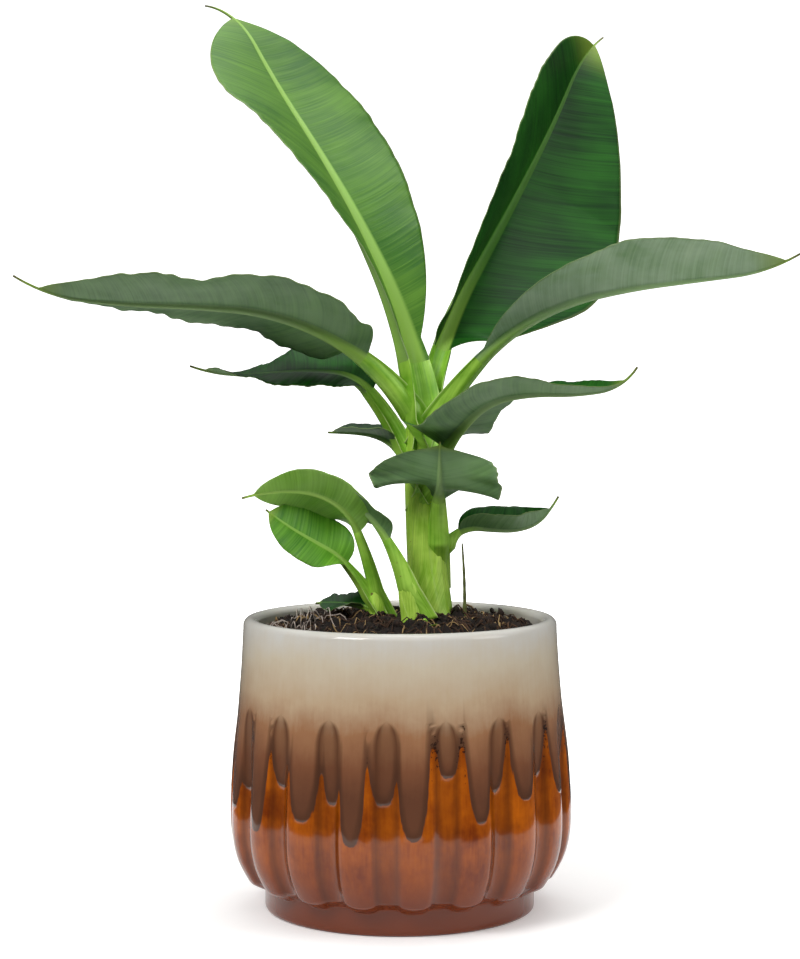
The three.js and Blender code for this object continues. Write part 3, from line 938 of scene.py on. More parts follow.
LEAVES = (
    Leaf(
        "tall_left", (20, 5, 390), 50, 433, 45, (80, 67, 54, 49, 46, 51, 10),
        (120, 128, 131, 131), (5, 5, 0), (88, 92), (50, 20, -15), (40, 14, 0),
        1, 0.9, 0.55, (2.2, 2.6), (11.5, 10), Tone.SUNLIT, (-14, -10), 2.0, 3, 3,
    ),
    Leaf(
        "tall_right", (22, 15, 392), 62, 406, 20, (76, 54, 42, 44, 46, 51, 24),
        (66, 60, 58, 58), (30, 30, 25), (88, 126), (100, 88, 66), (10, -8, -5),
        0.6, 0.65, 0.25, (2.6, 1.2), (8, 6.5), Tone.DEEP, (-12, -14), 1.3, 3, 5,
    ),
    Leaf(
        "right_arm", (25, 12, 394), 60, 272, 12, (54, 46, 28, 12, 6, 6, 30),
        (-10, -14, -14, -12), (0, 0), (60, 60), (20, 20, 20), (42, 45, 45),
        0.85, 0.9, 0.5, (2, 2), (8.5, 5.5), Tone.SATIN_LIT, (-10, -12), 1.4, 2.6, 7,
    ),
    Leaf(
        "left_arm", (11, 12, 398), 60, 288, 22, (56, 37, 20, 4, 1, 6, 32),
        (195, 192, 190, 188), (28, 20, 15), (62, 64), (5, 5, 15), (5, 15, 18),
        0.35, 0.5, 0.4, (3, 3), (8.5, 5.5), Tone.DEEP, (-12, -8), 3.2, 2.3, 9,
    ),
    Leaf(
        "low_left", (12, 8, 350), 76, 158, 14, (66, 50, 6, -2, -4, 4, 18),
        (150, 165, 165, 165), (-30, -20, 25), (26, 42), (0, 0, 15), (0, 10, 10),
        0.4, 0.5, 0.5, (3, 3), (7, 4.5), Tone.DEEP, (-8, -8), 1.6, 3, 11,
    ),
    Leaf(
        "low_right", (25, 1, 342), 32, 180, 14, (72, 52, 40, 10, -2, 8, 58),
        (-35, -40, -20, -8), (-8, 5, 15), (34, 57), (-15, 10, 40), (-12, 32, 30),
        0.12, 0.5, 0.12, (2.5, 1.2), (7.5, 4.5), Tone.DEEP, (-6, -10), 1.6, 3, 13,
    ),
    Leaf(
        "front_cup", (31, 6, 292), 40, 58, 4, (86, 52, 20, 70, 84, 80),
        (-88, -90, -90), (-10, -10, -10), (52, 55), (-5, -8, -10), (-5, -5, -5),
        0.6, 0.5, 0.6, (2.5, 2.5), (7.5, 4.5), Tone.DEEP, (-18, -34), 4.0, 2.2, 15, 40, 2.3,
    ),
    Leaf(
        "small_right", (37, 12, 292), 15, 92, 12, (62, 24, -8, -4, 15, 50, 60),
        (5, 5, 5), (0, 0), (24, 24), (55, 52, 50), (35, 38, 45),
        0.4, 0.5, 0.5, (3, 3), (6, 3), Tone.DEEP, (-8, -8), 0.8, 2.5, 17, 16, 1.0,
    ),
    Leaf(
        "small_left", (14, 14, 346), 30, 58, 4, (68, 40, 20, 5, 0, 0),
        (172, 172, 172), (0, 0), (20, 22), (18, 18, 18), (22, 22, 22),
        0.4, 0.5, 0.5, (3, 3), (6, 3), Tone.DEEP, (-8, -8), 0.8, 2, 19,
    ),
    Leaf(
        "pup_low", (-24, -18, 252), 32, 78, 3, (60, 48, 30, 30, 34, 40),
        (182, 190, 195), (-50, -60, -60), (22, 28), (4, 4, 4), (4, 4, 4),
        0.4, 0.5, 0.5, (2.5, 2.5), (4.5, 2.6), Tone.YOUNG, (-8, -8), 0.8, 2, 21,
    ),
    Leaf(
        "pup_bright", (-19, -12, 256), 50, 108, 10, (76, 68, 42, 20, 3, -6, -16),
        (200, 200, 195), (35, 45, 45), (26, 22), (5, 5, 5), (5, 5, 5),
        0.4, 0.5, 0.5, (2.5, 2.5), (4.5, 2.6), Tone.YOUNG, (-10, -10), 0.8, 2, 23,
    ),
    Leaf(
        "pup_arch", (8, -27, 260), 42, 100, 6, (72, 58, 46, 14, -10, -18),
        (172, 165, 165), (30, 28, 20), (22, 26), (5, 5, 5), (5, 5, 5),
        0.4, 0.5, 0.5, (3, 3), (7, 3.5), Tone.DEEP, (-10, -10), 1.0, 3, 25,
    ),
    Leaf(
        "cut_leaf", (-15, -7, 236), 16, 40, 3, (35, 12, 4, 0, -4),
        (158, 166, 172), (-12, -18, -18), (13, 15), (5, 5, 5), (5, 5, 5),
        0.3, 0.5, 0.7, (3, 3), (3.5, 2.2), Tone.DEEP, (-20, -16), 1.5, 2, 27, 8.0,
    ),
)


# ---- stems ----------------------------------------------------------------------------------
@dataclass(frozen=True)
class Stem:
    """A false trunk of rolled leaf sheaths, each lapping over the ones inside it.

    foot, head: centre of the stem where it leaves the soil and where it ends. radii: foot,
    middle and head. sheaths: the way a leaf faces in degrees and the height it leaves at,
    outermost first. lap: thickness of a sheath. crown: how far down the head is rounded off.
    """

    name: str
    foot: tuple[float, float, float]
    head: tuple[float, float, float]
    radii: tuple[float, float, float]
    sheaths: tuple[tuple[float, float], ...]
    seed: int = 1
    lap: float = 0.75
    crown: float = 20.0

    def build(self, finish: bpy.types.Material) -> bpy.types.Object:
        """Makes the stem: a round column whose radius gains one lap under each sheath. A sheath
        covers the angles near the way its leaf faces, wider the further below the leaf.

        Args:
            finish: the stem's material.

        Returns:
            The stem's object.
        """
        rng = np.random.default_rng(self.seed)
        tall = self.head[2] - self.foot[2]
        rows, around = max(24, int(tall / 1.3)), 144
        z = np.linspace(0, tall, rows)[:, None]
        turn = np.linspace(0, 2 * math.pi, around, False)[None]
        radius = rounded_line([(0, self.radii[0]), (tall / 2, self.radii[1]), (tall, self.radii[2])], z)
        radius = radius - 0.5 * self.lap * len(self.sheaths) * smooth(0, 0.3 * tall, z)
        radius = radius + 1.5 * smooth(14, 0, z)
        edge = np.zeros((rows, around))
        total = np.broadcast_to(radius, edge.shape).copy()
        for facing, top in self.sheaths:
            below = (top - self.foot[2]) - z
            away = np.abs((turn - math.radians(facing) + math.pi) % (2 * math.pi) - math.pi)
            spread = 72 * (1 - np.exp(-np.clip(below, 0, None) / 26))
            half = np.radians(np.clip(34 + spread + 0.16 * below, 0, 176))
            half = half + 0.05 * np.sin(0.09 * z + rng.uniform(0, 6))
            gap = (half - away) * radius
            cover = smooth(-0.5, 0.7, gap) * smooth(-2, 9, below)
            total += self.lap * cover
            line = np.exp(-(((gap - 0.5) / 0.8) ** 2)) * smooth(-2, 9, below)
            edge = np.maximum(edge * (1 - cover), line)
        total += 0.12 * np.sin(turn * 23 + 0.03 * z + rng.uniform(0, 6))
        total *= np.sqrt(1.02 - smooth(tall - self.crown, tall, z))
        share = z / tall
        centre = [self.foot[k] + (self.head[k] - self.foot[k]) * share for k in range(3)]
        ring = np.stack(
            [
                centre[0] + total * np.cos(turn),
                centre[1] + total * np.sin(turn),
                np.broadcast_to(centre[2], total.shape),
            ],
            -1,
        )
        points = np.concatenate([ring.reshape(-1, 3), [self.foot], [self.head]])
        flow = np.stack([turn * radius, np.broadcast_to(z, edge.shape), np.zeros(edge.shape)], -1)
        rim = np.stack([edge, np.zeros(edge.shape), np.full(edge.shape, float(self.seed))], -1)
        none = np.zeros((2, 3))
        piece = make_piece(
            "sheathed_" + self.name,
            points * MM,
            [grid_faces(rows, around, True), *end_fans(rows, around)],
            [finish],
            None,
            {
                "leaf_flow": np.concatenate([flow.reshape(-1, 3), none]),
                "leaf_rim": np.concatenate([rim.reshape(-1, 3), none]),
            },
        )
        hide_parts(self.name)
        return piece


# ---- pot ------------------------------------------------------------------------------------
@dataclass(frozen=True)
class Pot:
    """The fluted pot: eighteen grooves with arched tops between round-footed lobes, a rolled lip,
    a low foot ring, and glaze drips that run down each lobe and, shorter, each groove."""

    height: float = 234
    rim_radius: float = 127.5
    lip_radius: float = 6
    foot_radius: float = 108.5
    wall: float = 11
    floor: float = 12
    flutes: int = 18
    turn: float = -4.5
    arch_top: float = 168
    arch_rise: float = 21
    groove_share: float = 0.235
    groove_depth: float = 5.6
    lobe_rise: float = 2.0
    columns: int = 22
    seed: int = 12
    side: tuple[tuple[float, float], ...] = (
        (8, 109), (20, 117.5), (29, 123.5), (42, 130.2), (56, 134), (72, 135.5), (105, 134.2),
        (152, 130.6), (176, 128.6), (206, 126.6), (224, 125.6),
    )

    def fingers(self, turn: Array) -> tuple[Array, Array]:
        """Height at which the poured glaze ends, as the lowest of round-ended tongues: a long one
        for each lobe and a short one for each groove, their lengths drawn from a seeded list.

        Args:
            turn: angles about the pot's axis.

        Returns:
            The height, and how near a parting of two tongues the angle is, from 0 to 1.
        """
        rng = np.random.default_rng(self.seed)
        period = 2 * math.pi / self.flutes
        start = math.radians(self.turn - 90)
        low = np.full(turn.shape, 1e9)
        for k in range(2 * self.flutes):
            lobe = k % 2 == 1
            middle = start + k * period / 2 + rng.uniform(-0.1, 0.1) * period
            half = period * (rng.uniform(0.27, 0.36) if lobe else rng.uniform(0.2, 0.29))
            end = rng.uniform(72, 106) if lobe else rng.uniform(100, 128)
            away = np.abs((turn - middle + math.pi) % (2 * math.pi) - math.pi) / half
            low = np.minimum(low, end + (150 - end) * away**3.2)
        low = np.minimum(low, 152 + 4 * np.sin(turn * 11))
        return low, smooth(118, 150, low)

    def outer_radius(self, z: Array, u: Array) -> tuple[Array, Array, Array]:
        """Radius of the outside. Inside a groove it is scooped by one less the square of the way
        to its edge, on a lobe it swells likewise, and the columns are spread so that one of them
        follows each edge up round the arch.

        Args:
            z: heights, rows by one.
            u: place in the flute from -0.5 to 0.5, one by columns, 0 in mid groove.

        Returns:
            The radius, the true place in the flute, and for the glaze three values in one array:
            how far the groove is browned, partly for thin glaze and partly as painted shade, how near
            its edge the point is, and that place again.
        """
        climb = np.clip((z - (self.arch_top - self.arch_rise)) / self.arch_rise, 0, 1)
        half = np.maximum(self.groove_share * np.sqrt(1 - climb**2), 0.012)
        a = np.abs(u)
        outside = half + (a - 0.25) / 0.25 * (0.5 - half)
        t = np.where(a < 0.25, a / 0.25 * half, outside)
        place = np.sign(u) * t
        in_groove = np.clip(1 - (t / half) ** 2, 0, 1) * (t < half)
        on_lobe = np.clip(1 - ((0.5 - t) / (0.5 - half)) ** 2, 0, 1) * (t >= half)
        fade = smooth(self.arch_top + 3, self.arch_top - 70, z)
        body = rounded_line(list(self.side), z)
        body = body - self.groove_depth * in_groove**0.9 * fade
        body = body + self.lobe_rise * on_lobe * smooth(self.arch_top + 8, 120, z)
        way = np.clip((0.5 - t) / (0.5 - half), 0, 1)
        lobe_foot = 20 + 3 * (1 - np.sqrt(1 - way**2)) * (t >= half) + 3 * (t < half)
        step = smooth(lobe_foot - 2.5, lobe_foot + 5.5, z) ** 0.55
        ridge = np.exp(-(((t - half) / 0.028) ** 2)) * fade
        # painted shade with thin glaze: strongest near a groove's sides, less in its middle, fading out
        # above the arch top and at the foot
        groove_thin_and_shade = smooth(0, 0.3, in_groove) * (1 - 0.55 * smooth(0.45, 1, in_groove))
        groove_thin_and_shade = groove_thin_and_shade * smooth(self.arch_top + 3, self.arch_top - 6, z) * smooth(18, 30, z)
        shade = np.stack([groove_thin_and_shade, ridge, place], -1)
        return self.foot_radius + (body - self.foot_radius) * step, place, shade

    def build(self, finish: bpy.types.Material) -> bpy.types.Object:
        """Makes the pot.

        Args:
            finish: the glaze.

        Returns:
            The pot's object.
        """
        period = 2 * math.pi / self.flutes
        u = np.tile((np.arange(self.columns) / self.columns) - 0.5, self.flutes)[None]
        cell = np.repeat(np.arange(self.flutes), self.columns)[None]
        start = math.radians(self.turn - 90)
        z = np.concatenate([np.arange(3, 16, 2.5), np.arange(16, 38, 0.8), np.arange(38, 225, 1.45)])
        z = z[:, None]
        radius, place, shade = self.outer_radius(z, u)
        turn = start + (cell + place) * period
        front, parting = self.fingers(turn)
        lean = np.gradient(front, axis=1) / (np.gradient(turn, axis=1) * self.rim_radius)
        off = (z - front) / np.sqrt(1 + lean**2)
        rng = np.random.default_rng(self.seed + 1)
        wobble = 0.25 * np.sin(turn * 3 + z * 0.02 + rng.uniform(0, 6)) + 0.15 * np.sin(turn * 7)
        radius = radius + wobble + 0.3 * smooth(-1.2, 1.2, off) * smooth(200, 170, z)
        straight = start + (cell + u) * period
        straight = np.broadcast_to(straight, (1, straight.shape[1]))
        crest = self.height - self.lip_radius
        lip_at = np.radians(np.linspace(8, 172, 12))[:, None]
        lip_r = self.rim_radius - 2 - self.lip_radius + np.cos(lip_at) * self.lip_radius
        lip_z = crest + np.sin(lip_at) * self.lip_radius
        inner_z = np.array([224, 221, 218, 212, 204, 190, 170, 140, 110, 80, 50, 30, 22])[:, None]
        inner_r = rounded_line(list(self.side), inner_z) - self.wall
        inner_r = inner_r - 3.3 * smooth(176, 160, inner_z)
        floor_r = np.array([[96.0], [60.0], [20.0]])
        floor_z = np.full((3, 1), self.floor)
        under_r = np.array([[20.0], [70.0], [98.0], [99.0], [103.0], [105.5], [107.8]])
        under_z = np.array([[2.0], [2.0], [2.0], [0.0], [0.0], [0.0], [1.2]])
        more = [(under_r, under_z), (lip_r, lip_z), (inner_r, inner_z), (floor_r, floor_z)]
        blocks = [
            np.stack(
                [r * np.cos(straight), r * np.sin(straight), np.broadcast_to(h, (len(h), u.size))],
                -1,
            )
            for r, h in more
        ]
        outer = np.stack([radius * np.cos(turn), radius * np.sin(turn), z + 0 * turn], -1)
        grid = np.concatenate([blocks[0], outer, *blocks[1:]], 0)
        rows, around = grid.shape[:2]
        points = np.concatenate([grid.reshape(-1, 3), [[0, 0, 2.0]], [[0, 0, self.floor]]])
        # beyond the outside, glaze_run is far from any drip: bare amber below, poured coat inside
        clear = 60.0
        before = np.zeros((len(blocks[0]), around))
        after = np.zeros((sum(map(len, blocks[1:])), around))
        still = np.concatenate([before - clear, off, after + clear])
        near = np.concatenate([before, np.exp(-((off / 6) ** 2)) * parting, after])
        run = np.stack([self.height - grid[..., 2], still, near], -1).reshape(-1, 3)
        run = np.concatenate([run, [[232, -clear, 0], [222, clear, 0]]])
        none = [np.zeros((len(block), around, 3)) for block in blocks]
        flute = np.concatenate([none[0], shade, *none[1:]], 0).reshape(-1, 3)
        flute = np.concatenate([flute, np.zeros((2, 3))])
        piece = make_piece(
            "glazed_pot", points * MM, [grid_faces(rows, around, True), *end_fans(rows, around)],
            [finish], None, {"glaze_run": run, "glaze_flute": flute},
        )
        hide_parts("pot")
        return piece


# ---- soil and what lies on it ---------------------------------------------------------------
def tubes(paths: Array, radii: Array, sides: int) -> tuple[Array, list[Array]]:
    """Closed round strands swept along many paths at once. Round each path point a ring is laid
    in two directions square to the path, and both ends run to a point.

    Args:
        paths: N by P by 3 places.
        radii: N by P radii.
        sides: points in a ring.

    Returns:
        Points, and a list of face arrays.
    """
    count, steps = paths.shape[:2]
    ahead = np.gradient(paths, axis=1)
    ahead /= np.linalg.norm(ahead, axis=-1, keepdims=True) + 1e-9
    helper = np.where(np.abs(ahead[..., 2:]) > 0.8, [[[1.0, 0, 0]]], [[[0, 0, 1.0]]])
    one = np.cross(ahead, helper)
    one /= np.linalg.norm(one, axis=-1, keepdims=True) + 1e-9
    two = np.cross(ahead, one)
    turn = np.linspace(0, 2 * math.pi, sides, False)[None, None, :, None]
    around = np.cos(turn) * one[:, :, None] + np.sin(turn) * two[:, :, None]
    ring = paths[:, :, None] + radii[:, :, None, None] * around
    points = ring.reshape(-1, 3)
    body = grid_faces(steps, sides, True)[None] + (np.arange(count) * steps * sides)[:, None, None]
    a = np.arange(sides)
    b = (a + 1) % sides
    base = (np.arange(count) * steps * sides)[:, None]
    ends = np.concatenate([paths[:, 0], paths[:, -1]])
    first = len(points) + np.arange(count)[:, None] + 0 * a[None]
    start = np.stack([first, base + b, base + a], -1)
    tail = base + (steps - 1) * sides
    finish = np.stack([first + count, tail + a, tail + b], -1)
    faces = [body.reshape(-1, 4), start.reshape(-1, 3), finish.reshape(-1, 3)]
    return np.concatenate([points, ends]), faces


@dataclass(frozen=True)
class Ground:
    """The potting soil, heaped a little about the stems, and the litter on it."""

    edge: float = 221
    mound: float = 234
    reach: float = 114.2
    bottom: float = 22
    seed: int = 31

    def height(self, x: Array, y: Array) -> Array:
        """Height of the soil: a mound that falls with the 2.2nd power of the distance out."""
        reach = np.clip(np.hypot(x, y) / 113, 0, 1)
        mound = (self.mound - self.edge) * (1 - reach**2.2)
        return self.edge + mound + 1.2 * np.sin(x * 0.11 + 1) * np.cos(y * 0.13) * (1 - reach**6)

    def rough(self, x: Array, y: Array) -> Array:
        """Unevenness of the soil: forty plane waves of random way, 4 to 30 mm long, the longer
        the higher, added up."""
        rng = np.random.default_rng(self.seed)
        total = np.zeros(np.broadcast(x, y).shape)
        for length in np.geomspace(30, 4, 40):
            way, phase = rng.uniform(0, 6.28, 2)
            total += 0.085 * length**0.75 * np.sin(
                6.28 / length * (x * math.cos(way) + y * math.sin(way)) + phase
            )
        return total

    def spots(self, rng: np.random.Generator, count: int, reach: float) -> tuple[Array, Array]:
        """Random places on the soil, evenly spread over the disc."""
        far = reach * np.sqrt(rng.uniform(0, 1, count))
        turn = rng.uniform(0, 2 * math.pi, count)
        return far * np.cos(turn), far * np.sin(turn)

    def soil(self, finish: bpy.types.Material) -> bpy.types.Object:
        """Makes the soil as a closed skin: uneven top, wall and flat bottom."""
        around = 220
        turn = np.linspace(0, 2 * math.pi, around, False)[None]
        far = np.concatenate([np.linspace(0.6, 100, 84), np.linspace(101, self.reach, 14)])[:, None]
        x, y = far * np.cos(turn), far * np.sin(turn)
        z = self.height(x, y) + self.rough(x, y) * smooth(0, 4, self.reach - far + 1)
        top = np.stack([x, y, z], -1)[::-1]
        down = np.array([[self.reach, 205], [113, 160], [108, 60], [95, self.bottom], [1, self.bottom]])
        wall = np.stack(
            [down[:, :1] * np.cos(turn), down[:, :1] * np.sin(turn), down[:, 1:] + 0 * turn], -1
        )
        grid = np.concatenate([wall[::-1], top], 0)
        rows = len(grid)
        peak = [0, 0, float(self.height(np.array(0.0), np.array(0.0))) + 0.2]
        points = np.concatenate([grid.reshape(-1, 3), [[0, 0, self.bottom]], [peak]])
        faces = [grid_faces(rows, around, True), *end_fans(rows, around)]
        piece = make_piece("potting_soil", points * MM, faces, [finish])
        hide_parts("soil")
        return piece

    def crumbs(self, finish: bpy.types.Material, count: int = 1500) -> bpy.types.Object:
        """Makes loose crumbs: twenty-sided lumps, each squashed, turned and dented at random."""
        rng = np.random.default_rng(self.seed + 1)
        g = (1 + 5**0.5) / 2
        ball = np.array(
            [[-1, g, 0], [1, g, 0], [-1, -g, 0], [1, -g, 0], [0, -1, g], [0, 1, g],
             [0, -1, -g], [0, 1, -g], [g, 0, -1], [g, 0, 1], [-g, 0, -1], [-g, 0, 1]]
        ) / 1.9
        sides = np.array(
            [[0, 11, 5], [0, 5, 1], [0, 1, 7], [0, 7, 10], [0, 10, 11], [1, 5, 9], [5, 11, 4],
             [11, 10, 2], [10, 7, 6], [7, 1, 8], [3, 9, 4], [3, 4, 2], [3, 2, 6], [3, 6, 8],
             [3, 8, 9], [4, 9, 5], [2, 4, 11], [6, 2, 10], [8, 6, 7], [9, 8, 1]]
        )
        x, y = self.spots(rng, count, 111)
        size = 0.8 + 3.2 * rng.uniform(0, 1, count) ** 3
        z = self.height(x, y) + self.rough(x, y) + size * rng.uniform(-0.1, 0.5, count)
        dent = rng.uniform(0.65, 1.25, (count, 12, 1))
        squash = rng.uniform(0.55, 1.3, (count, 1, 3))
        turn = rng.uniform(0, 6.28, count)
        lump = ball[None] * dent * squash * size[:, None, None]
        c, s = np.cos(turn)[:, None], np.sin(turn)[:, None]
        lump = np.stack(
            [lump[..., 0] * c - lump[..., 1] * s, lump[..., 0] * s + lump[..., 1] * c, lump[..., 2]],
            -1,
        )
        points = (lump + np.stack([x, y, z], -1)[:, None]).reshape(-1, 3)
        faces = (sides[None] + (np.arange(count) * 12)[:, None, None]).reshape(-1, 3)
        piece = make_piece("soil_crumbs", points * MM, [faces], [finish])
        return piece

    def strands(
        self,
        name: str,
        finish: bpy.types.Material,
        count: int,
        length: tuple[float, float],
        radius: tuple[float, float],
        lift: tuple[float, float],
        bend: float,
        near: tuple[float, float, float] | None = None,
        seed: int = 0,
    ) -> bpy.types.Object:
        """Makes fibres, straws or roots that lie on the soil. Each runs a straight way with a
        random bow to one side, follows the soil's height, and is lifted by a low arch.

        Args:
            name: the piece's name.
            finish: its material.
            count: how many.
            length: shortest and longest.
            radius: thinnest and thickest.
            lift: least and greatest height of the arch.
            bend: greatest bow as a share of the length.
            near: centre and spread of the place they lie in, or none for the whole pot.
            seed: added to the soil's own.

        Returns:
            The joined piece.
        """
        rng = np.random.default_rng(self.seed + 10 + seed)
        x, y = self.spots(rng, count, near[2] if near else 104)
        if near:
            x, y = x + near[0], y + near[1]
        long = rng.uniform(*length, count)[:, None]
        way = rng.uniform(0, 6.28, count)[:, None]
        t = np.linspace(-0.5, 0.5, 8)[None]
        bow = rng.uniform(-bend, bend, count)[:, None] * long * (1 - 4 * t**2)
        px = x[:, None] + t * long * np.cos(way) - bow * np.sin(way)
        py = y[:, None] + t * long * np.sin(way) + bow * np.cos(way)
        out = np.maximum(np.hypot(px, py) / 112, 1)
        px, py = px / out, py / out
        thick = rng.uniform(*radius, count)[:, None]
        pz = self.height(px, py) + self.rough(px, py) + thick * 0.6
        pz = pz + rng.uniform(*lift, count)[:, None] * (1 - 4 * t**2)
        width = thick * np.sqrt(np.clip(1 - (1.9 * t) ** 6, 0.1, 1))
        points, faces = tubes(np.stack([px, py, pz], -1), width, 5)
        piece = make_piece(name, points * MM, faces, [finish])
        return piece


@dataclass(frozen=True)
class Peg:
    """A small upright relic: a dried leaf spike or the stub of a cut shoot."""

    name: str
    foot: tuple[float, float]
    top: float
    lean: tuple[float, float]
    radii: tuple[float, float]
    slot: str
    bend: float = 0.0

    def build(self, finish: bpy.types.Material, ground: Ground) -> bpy.types.Object:
        """Makes the relic.

        Args:
            finish: its material.
            ground: the soil it stands in.

        Returns:
            Its object.
        """
        t = np.linspace(0, 1, 40)
        low = float(ground.height(np.array(self.foot[0]), np.array(self.foot[1]))) - 5
        x = self.foot[0] + self.lean[0] * t + self.bend * np.sin(3.14 * t)
        y = self.foot[1] + self.lean[1] * t
        z = low + (self.top - low) * t
        radius = self.radii[0] + (self.radii[1] - self.radii[0]) * t
        radius = radius * (1 + 0.08 * np.sin(t * 40)) * (1 + 0.9 * smooth(0.16, 0.0, t))
        radius = radius * np.sqrt(np.clip(1 - smooth(0.95, 1.0, t) * 0.6, 0, 1))
        points, faces = tubes(np.stack([x, y, z], -1)[None], radius[None], 24)
        flow = np.stack([points[:, 0] * 2, points[:, 2], points[:, 0] * 0], -1)
        piece = make_piece(
            "weathered_" + self.name, points * MM, faces, [finish], None,
            {"leaf_flow": flow, "leaf_rim": flow * 0},
        )
        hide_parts(self.name)
        return piece


# ---- stage ----------------------------------------------------------------------------------
@dataclass(frozen=True)
class Lamp:
    """A soft box: where it stands, what it looks at, its size in metres and its power in watts."""

    name: str
    place: tuple[float, float, float]
    aim: tuple[float, float, float]
    size: float
    watts: float

    def build(self) -> None:
        """Adds the lamp to the scene."""
        data = bpy.data.lights.new(self.name, "AREA")
        data.shape = "SQUARE"
        data.size = self.size
        data.energy = self.watts
        lamp = bpy.data.objects.new(self.name, data)
        lamp.location = self.place
        away = np.array(self.aim) - np.array(self.place)
        flat = math.hypot(away[0], away[1])
        lamp.rotation_euler = (math.atan2(flat, -away[2]), 0, math.atan2(-away[0], away[1]))
        bpy.context.scene.collection.objects.link(lamp)


@dataclass(frozen=True)
class Studio:
    """Pale round sweep, soft light and the camera.

    camera: place in metres. dip: degrees the camera looks below level. lens: millimetres on a
    36 mm wide sensor. sky: strength of the light from above. table: radius of the part of the
    floor that the glaze mirrors.
    """

    camera: tuple[float, float, float] = (0.0, -1.9, 0.45)
    dip: float = 3.2
    lens: float = 107.1
    sky: float = 0.72
    table: float = 0.56
    lamps: tuple[Lamp, ...] = (
        Lamp("key_softbox", (-1.5, -1.7, 2.2), (0.0, 0.0, 0.35), 1.1, 46),
        Lamp("fill_softbox", (2.3, -0.9, 1.2), (0.0, 0.0, 0.35), 1.2, 18),
        Lamp("top_softbox", (0.2, 0.6, 2.6), (0.0, 0.0, 0.3), 1.6, 18),
    )

    def build(self) -> None:
        """Makes the sweep, the lamps, the sky and the camera."""
        scene = bpy.context.scene
        papers = [BackdropFinish("table_paper", glow=0.2), BackdropFinish("sweep_paper", glow=0.95)]
        turn = np.linspace(0, 2 * math.pi, 96, False)[None]
        disc_r = np.array([[0.001], [self.table]])
        floor_r = np.array([[self.table], [3.4], [3.9], [4.4], [4.6], [4.6]])
        floor_z = np.array([[0.0], [0.0], [0.08], [0.45], [1.2], [5.0]])
        for paper, r, h in zip(papers, (disc_r, floor_r), (0 * disc_r, floor_z)):
            points = np.stack([r * np.cos(turn), r * np.sin(turn), h + 0 * turn], -1)
            mesh = bpy.data.meshes.new(paper.name)
            faces = grid_faces(len(r), 96, True)
            mesh.from_pydata(points.reshape(-1, 3).tolist(), [], faces.tolist())
            mesh.polygons.foreach_set("use_smooth", np.ones(len(mesh.polygons), bool))
            mesh.materials.append(paper.build())
            sweep = bpy.data.objects.new(paper.name, mesh)
            scene.collection.objects.link(sweep)
            sweep.visible_glossy = sweep.visible_diffuse = paper is papers[0]
        for lamp in self.lamps:
            lamp.build()
        world = bpy.data.worlds.new("soft_white_room")
        world.use_nodes = True
        world.node_tree.nodes.clear()
        # the room is dark at and below eye level, so that glaze and leaves mirror it with depth
        room = world.node_tree
        aim = add_node(room, "ShaderNodeTexCoord", out="Generated")
        rise = add_node(room, "ShaderNodeSeparateXYZ", inputs={0: aim}, out="Z")
        light = add_node(
            room, "ShaderNodeMapRange", SOFT_STEP,
            {0: rise, 1: 0.36, 2: 0.8, 3: 0.14 * self.sky, 4: 1.4 * self.sky},
        )
        glow = add_node(
            room, "ShaderNodeBackground", inputs={"Color": linear("#ffffff"), "Strength": light},
        )
        add_node(room, "ShaderNodeOutputWorld", inputs={"Surface": glow})
        scene.world = world
        lens = bpy.data.cameras.new("portrait_camera")
        lens.sensor_fit = "HORIZONTAL"
        lens.sensor_width = 36
        lens.lens = self.lens
        camera = bpy.data.objects.new("portrait_camera", lens)
        camera.location = self.camera
        camera.rotation_euler = (math.radians(90 - self.dip), 0, 0)
        scene.collection.objects.link(camera)
        scene.camera = camera
        scene.view_settings.view_transform = "Standard"


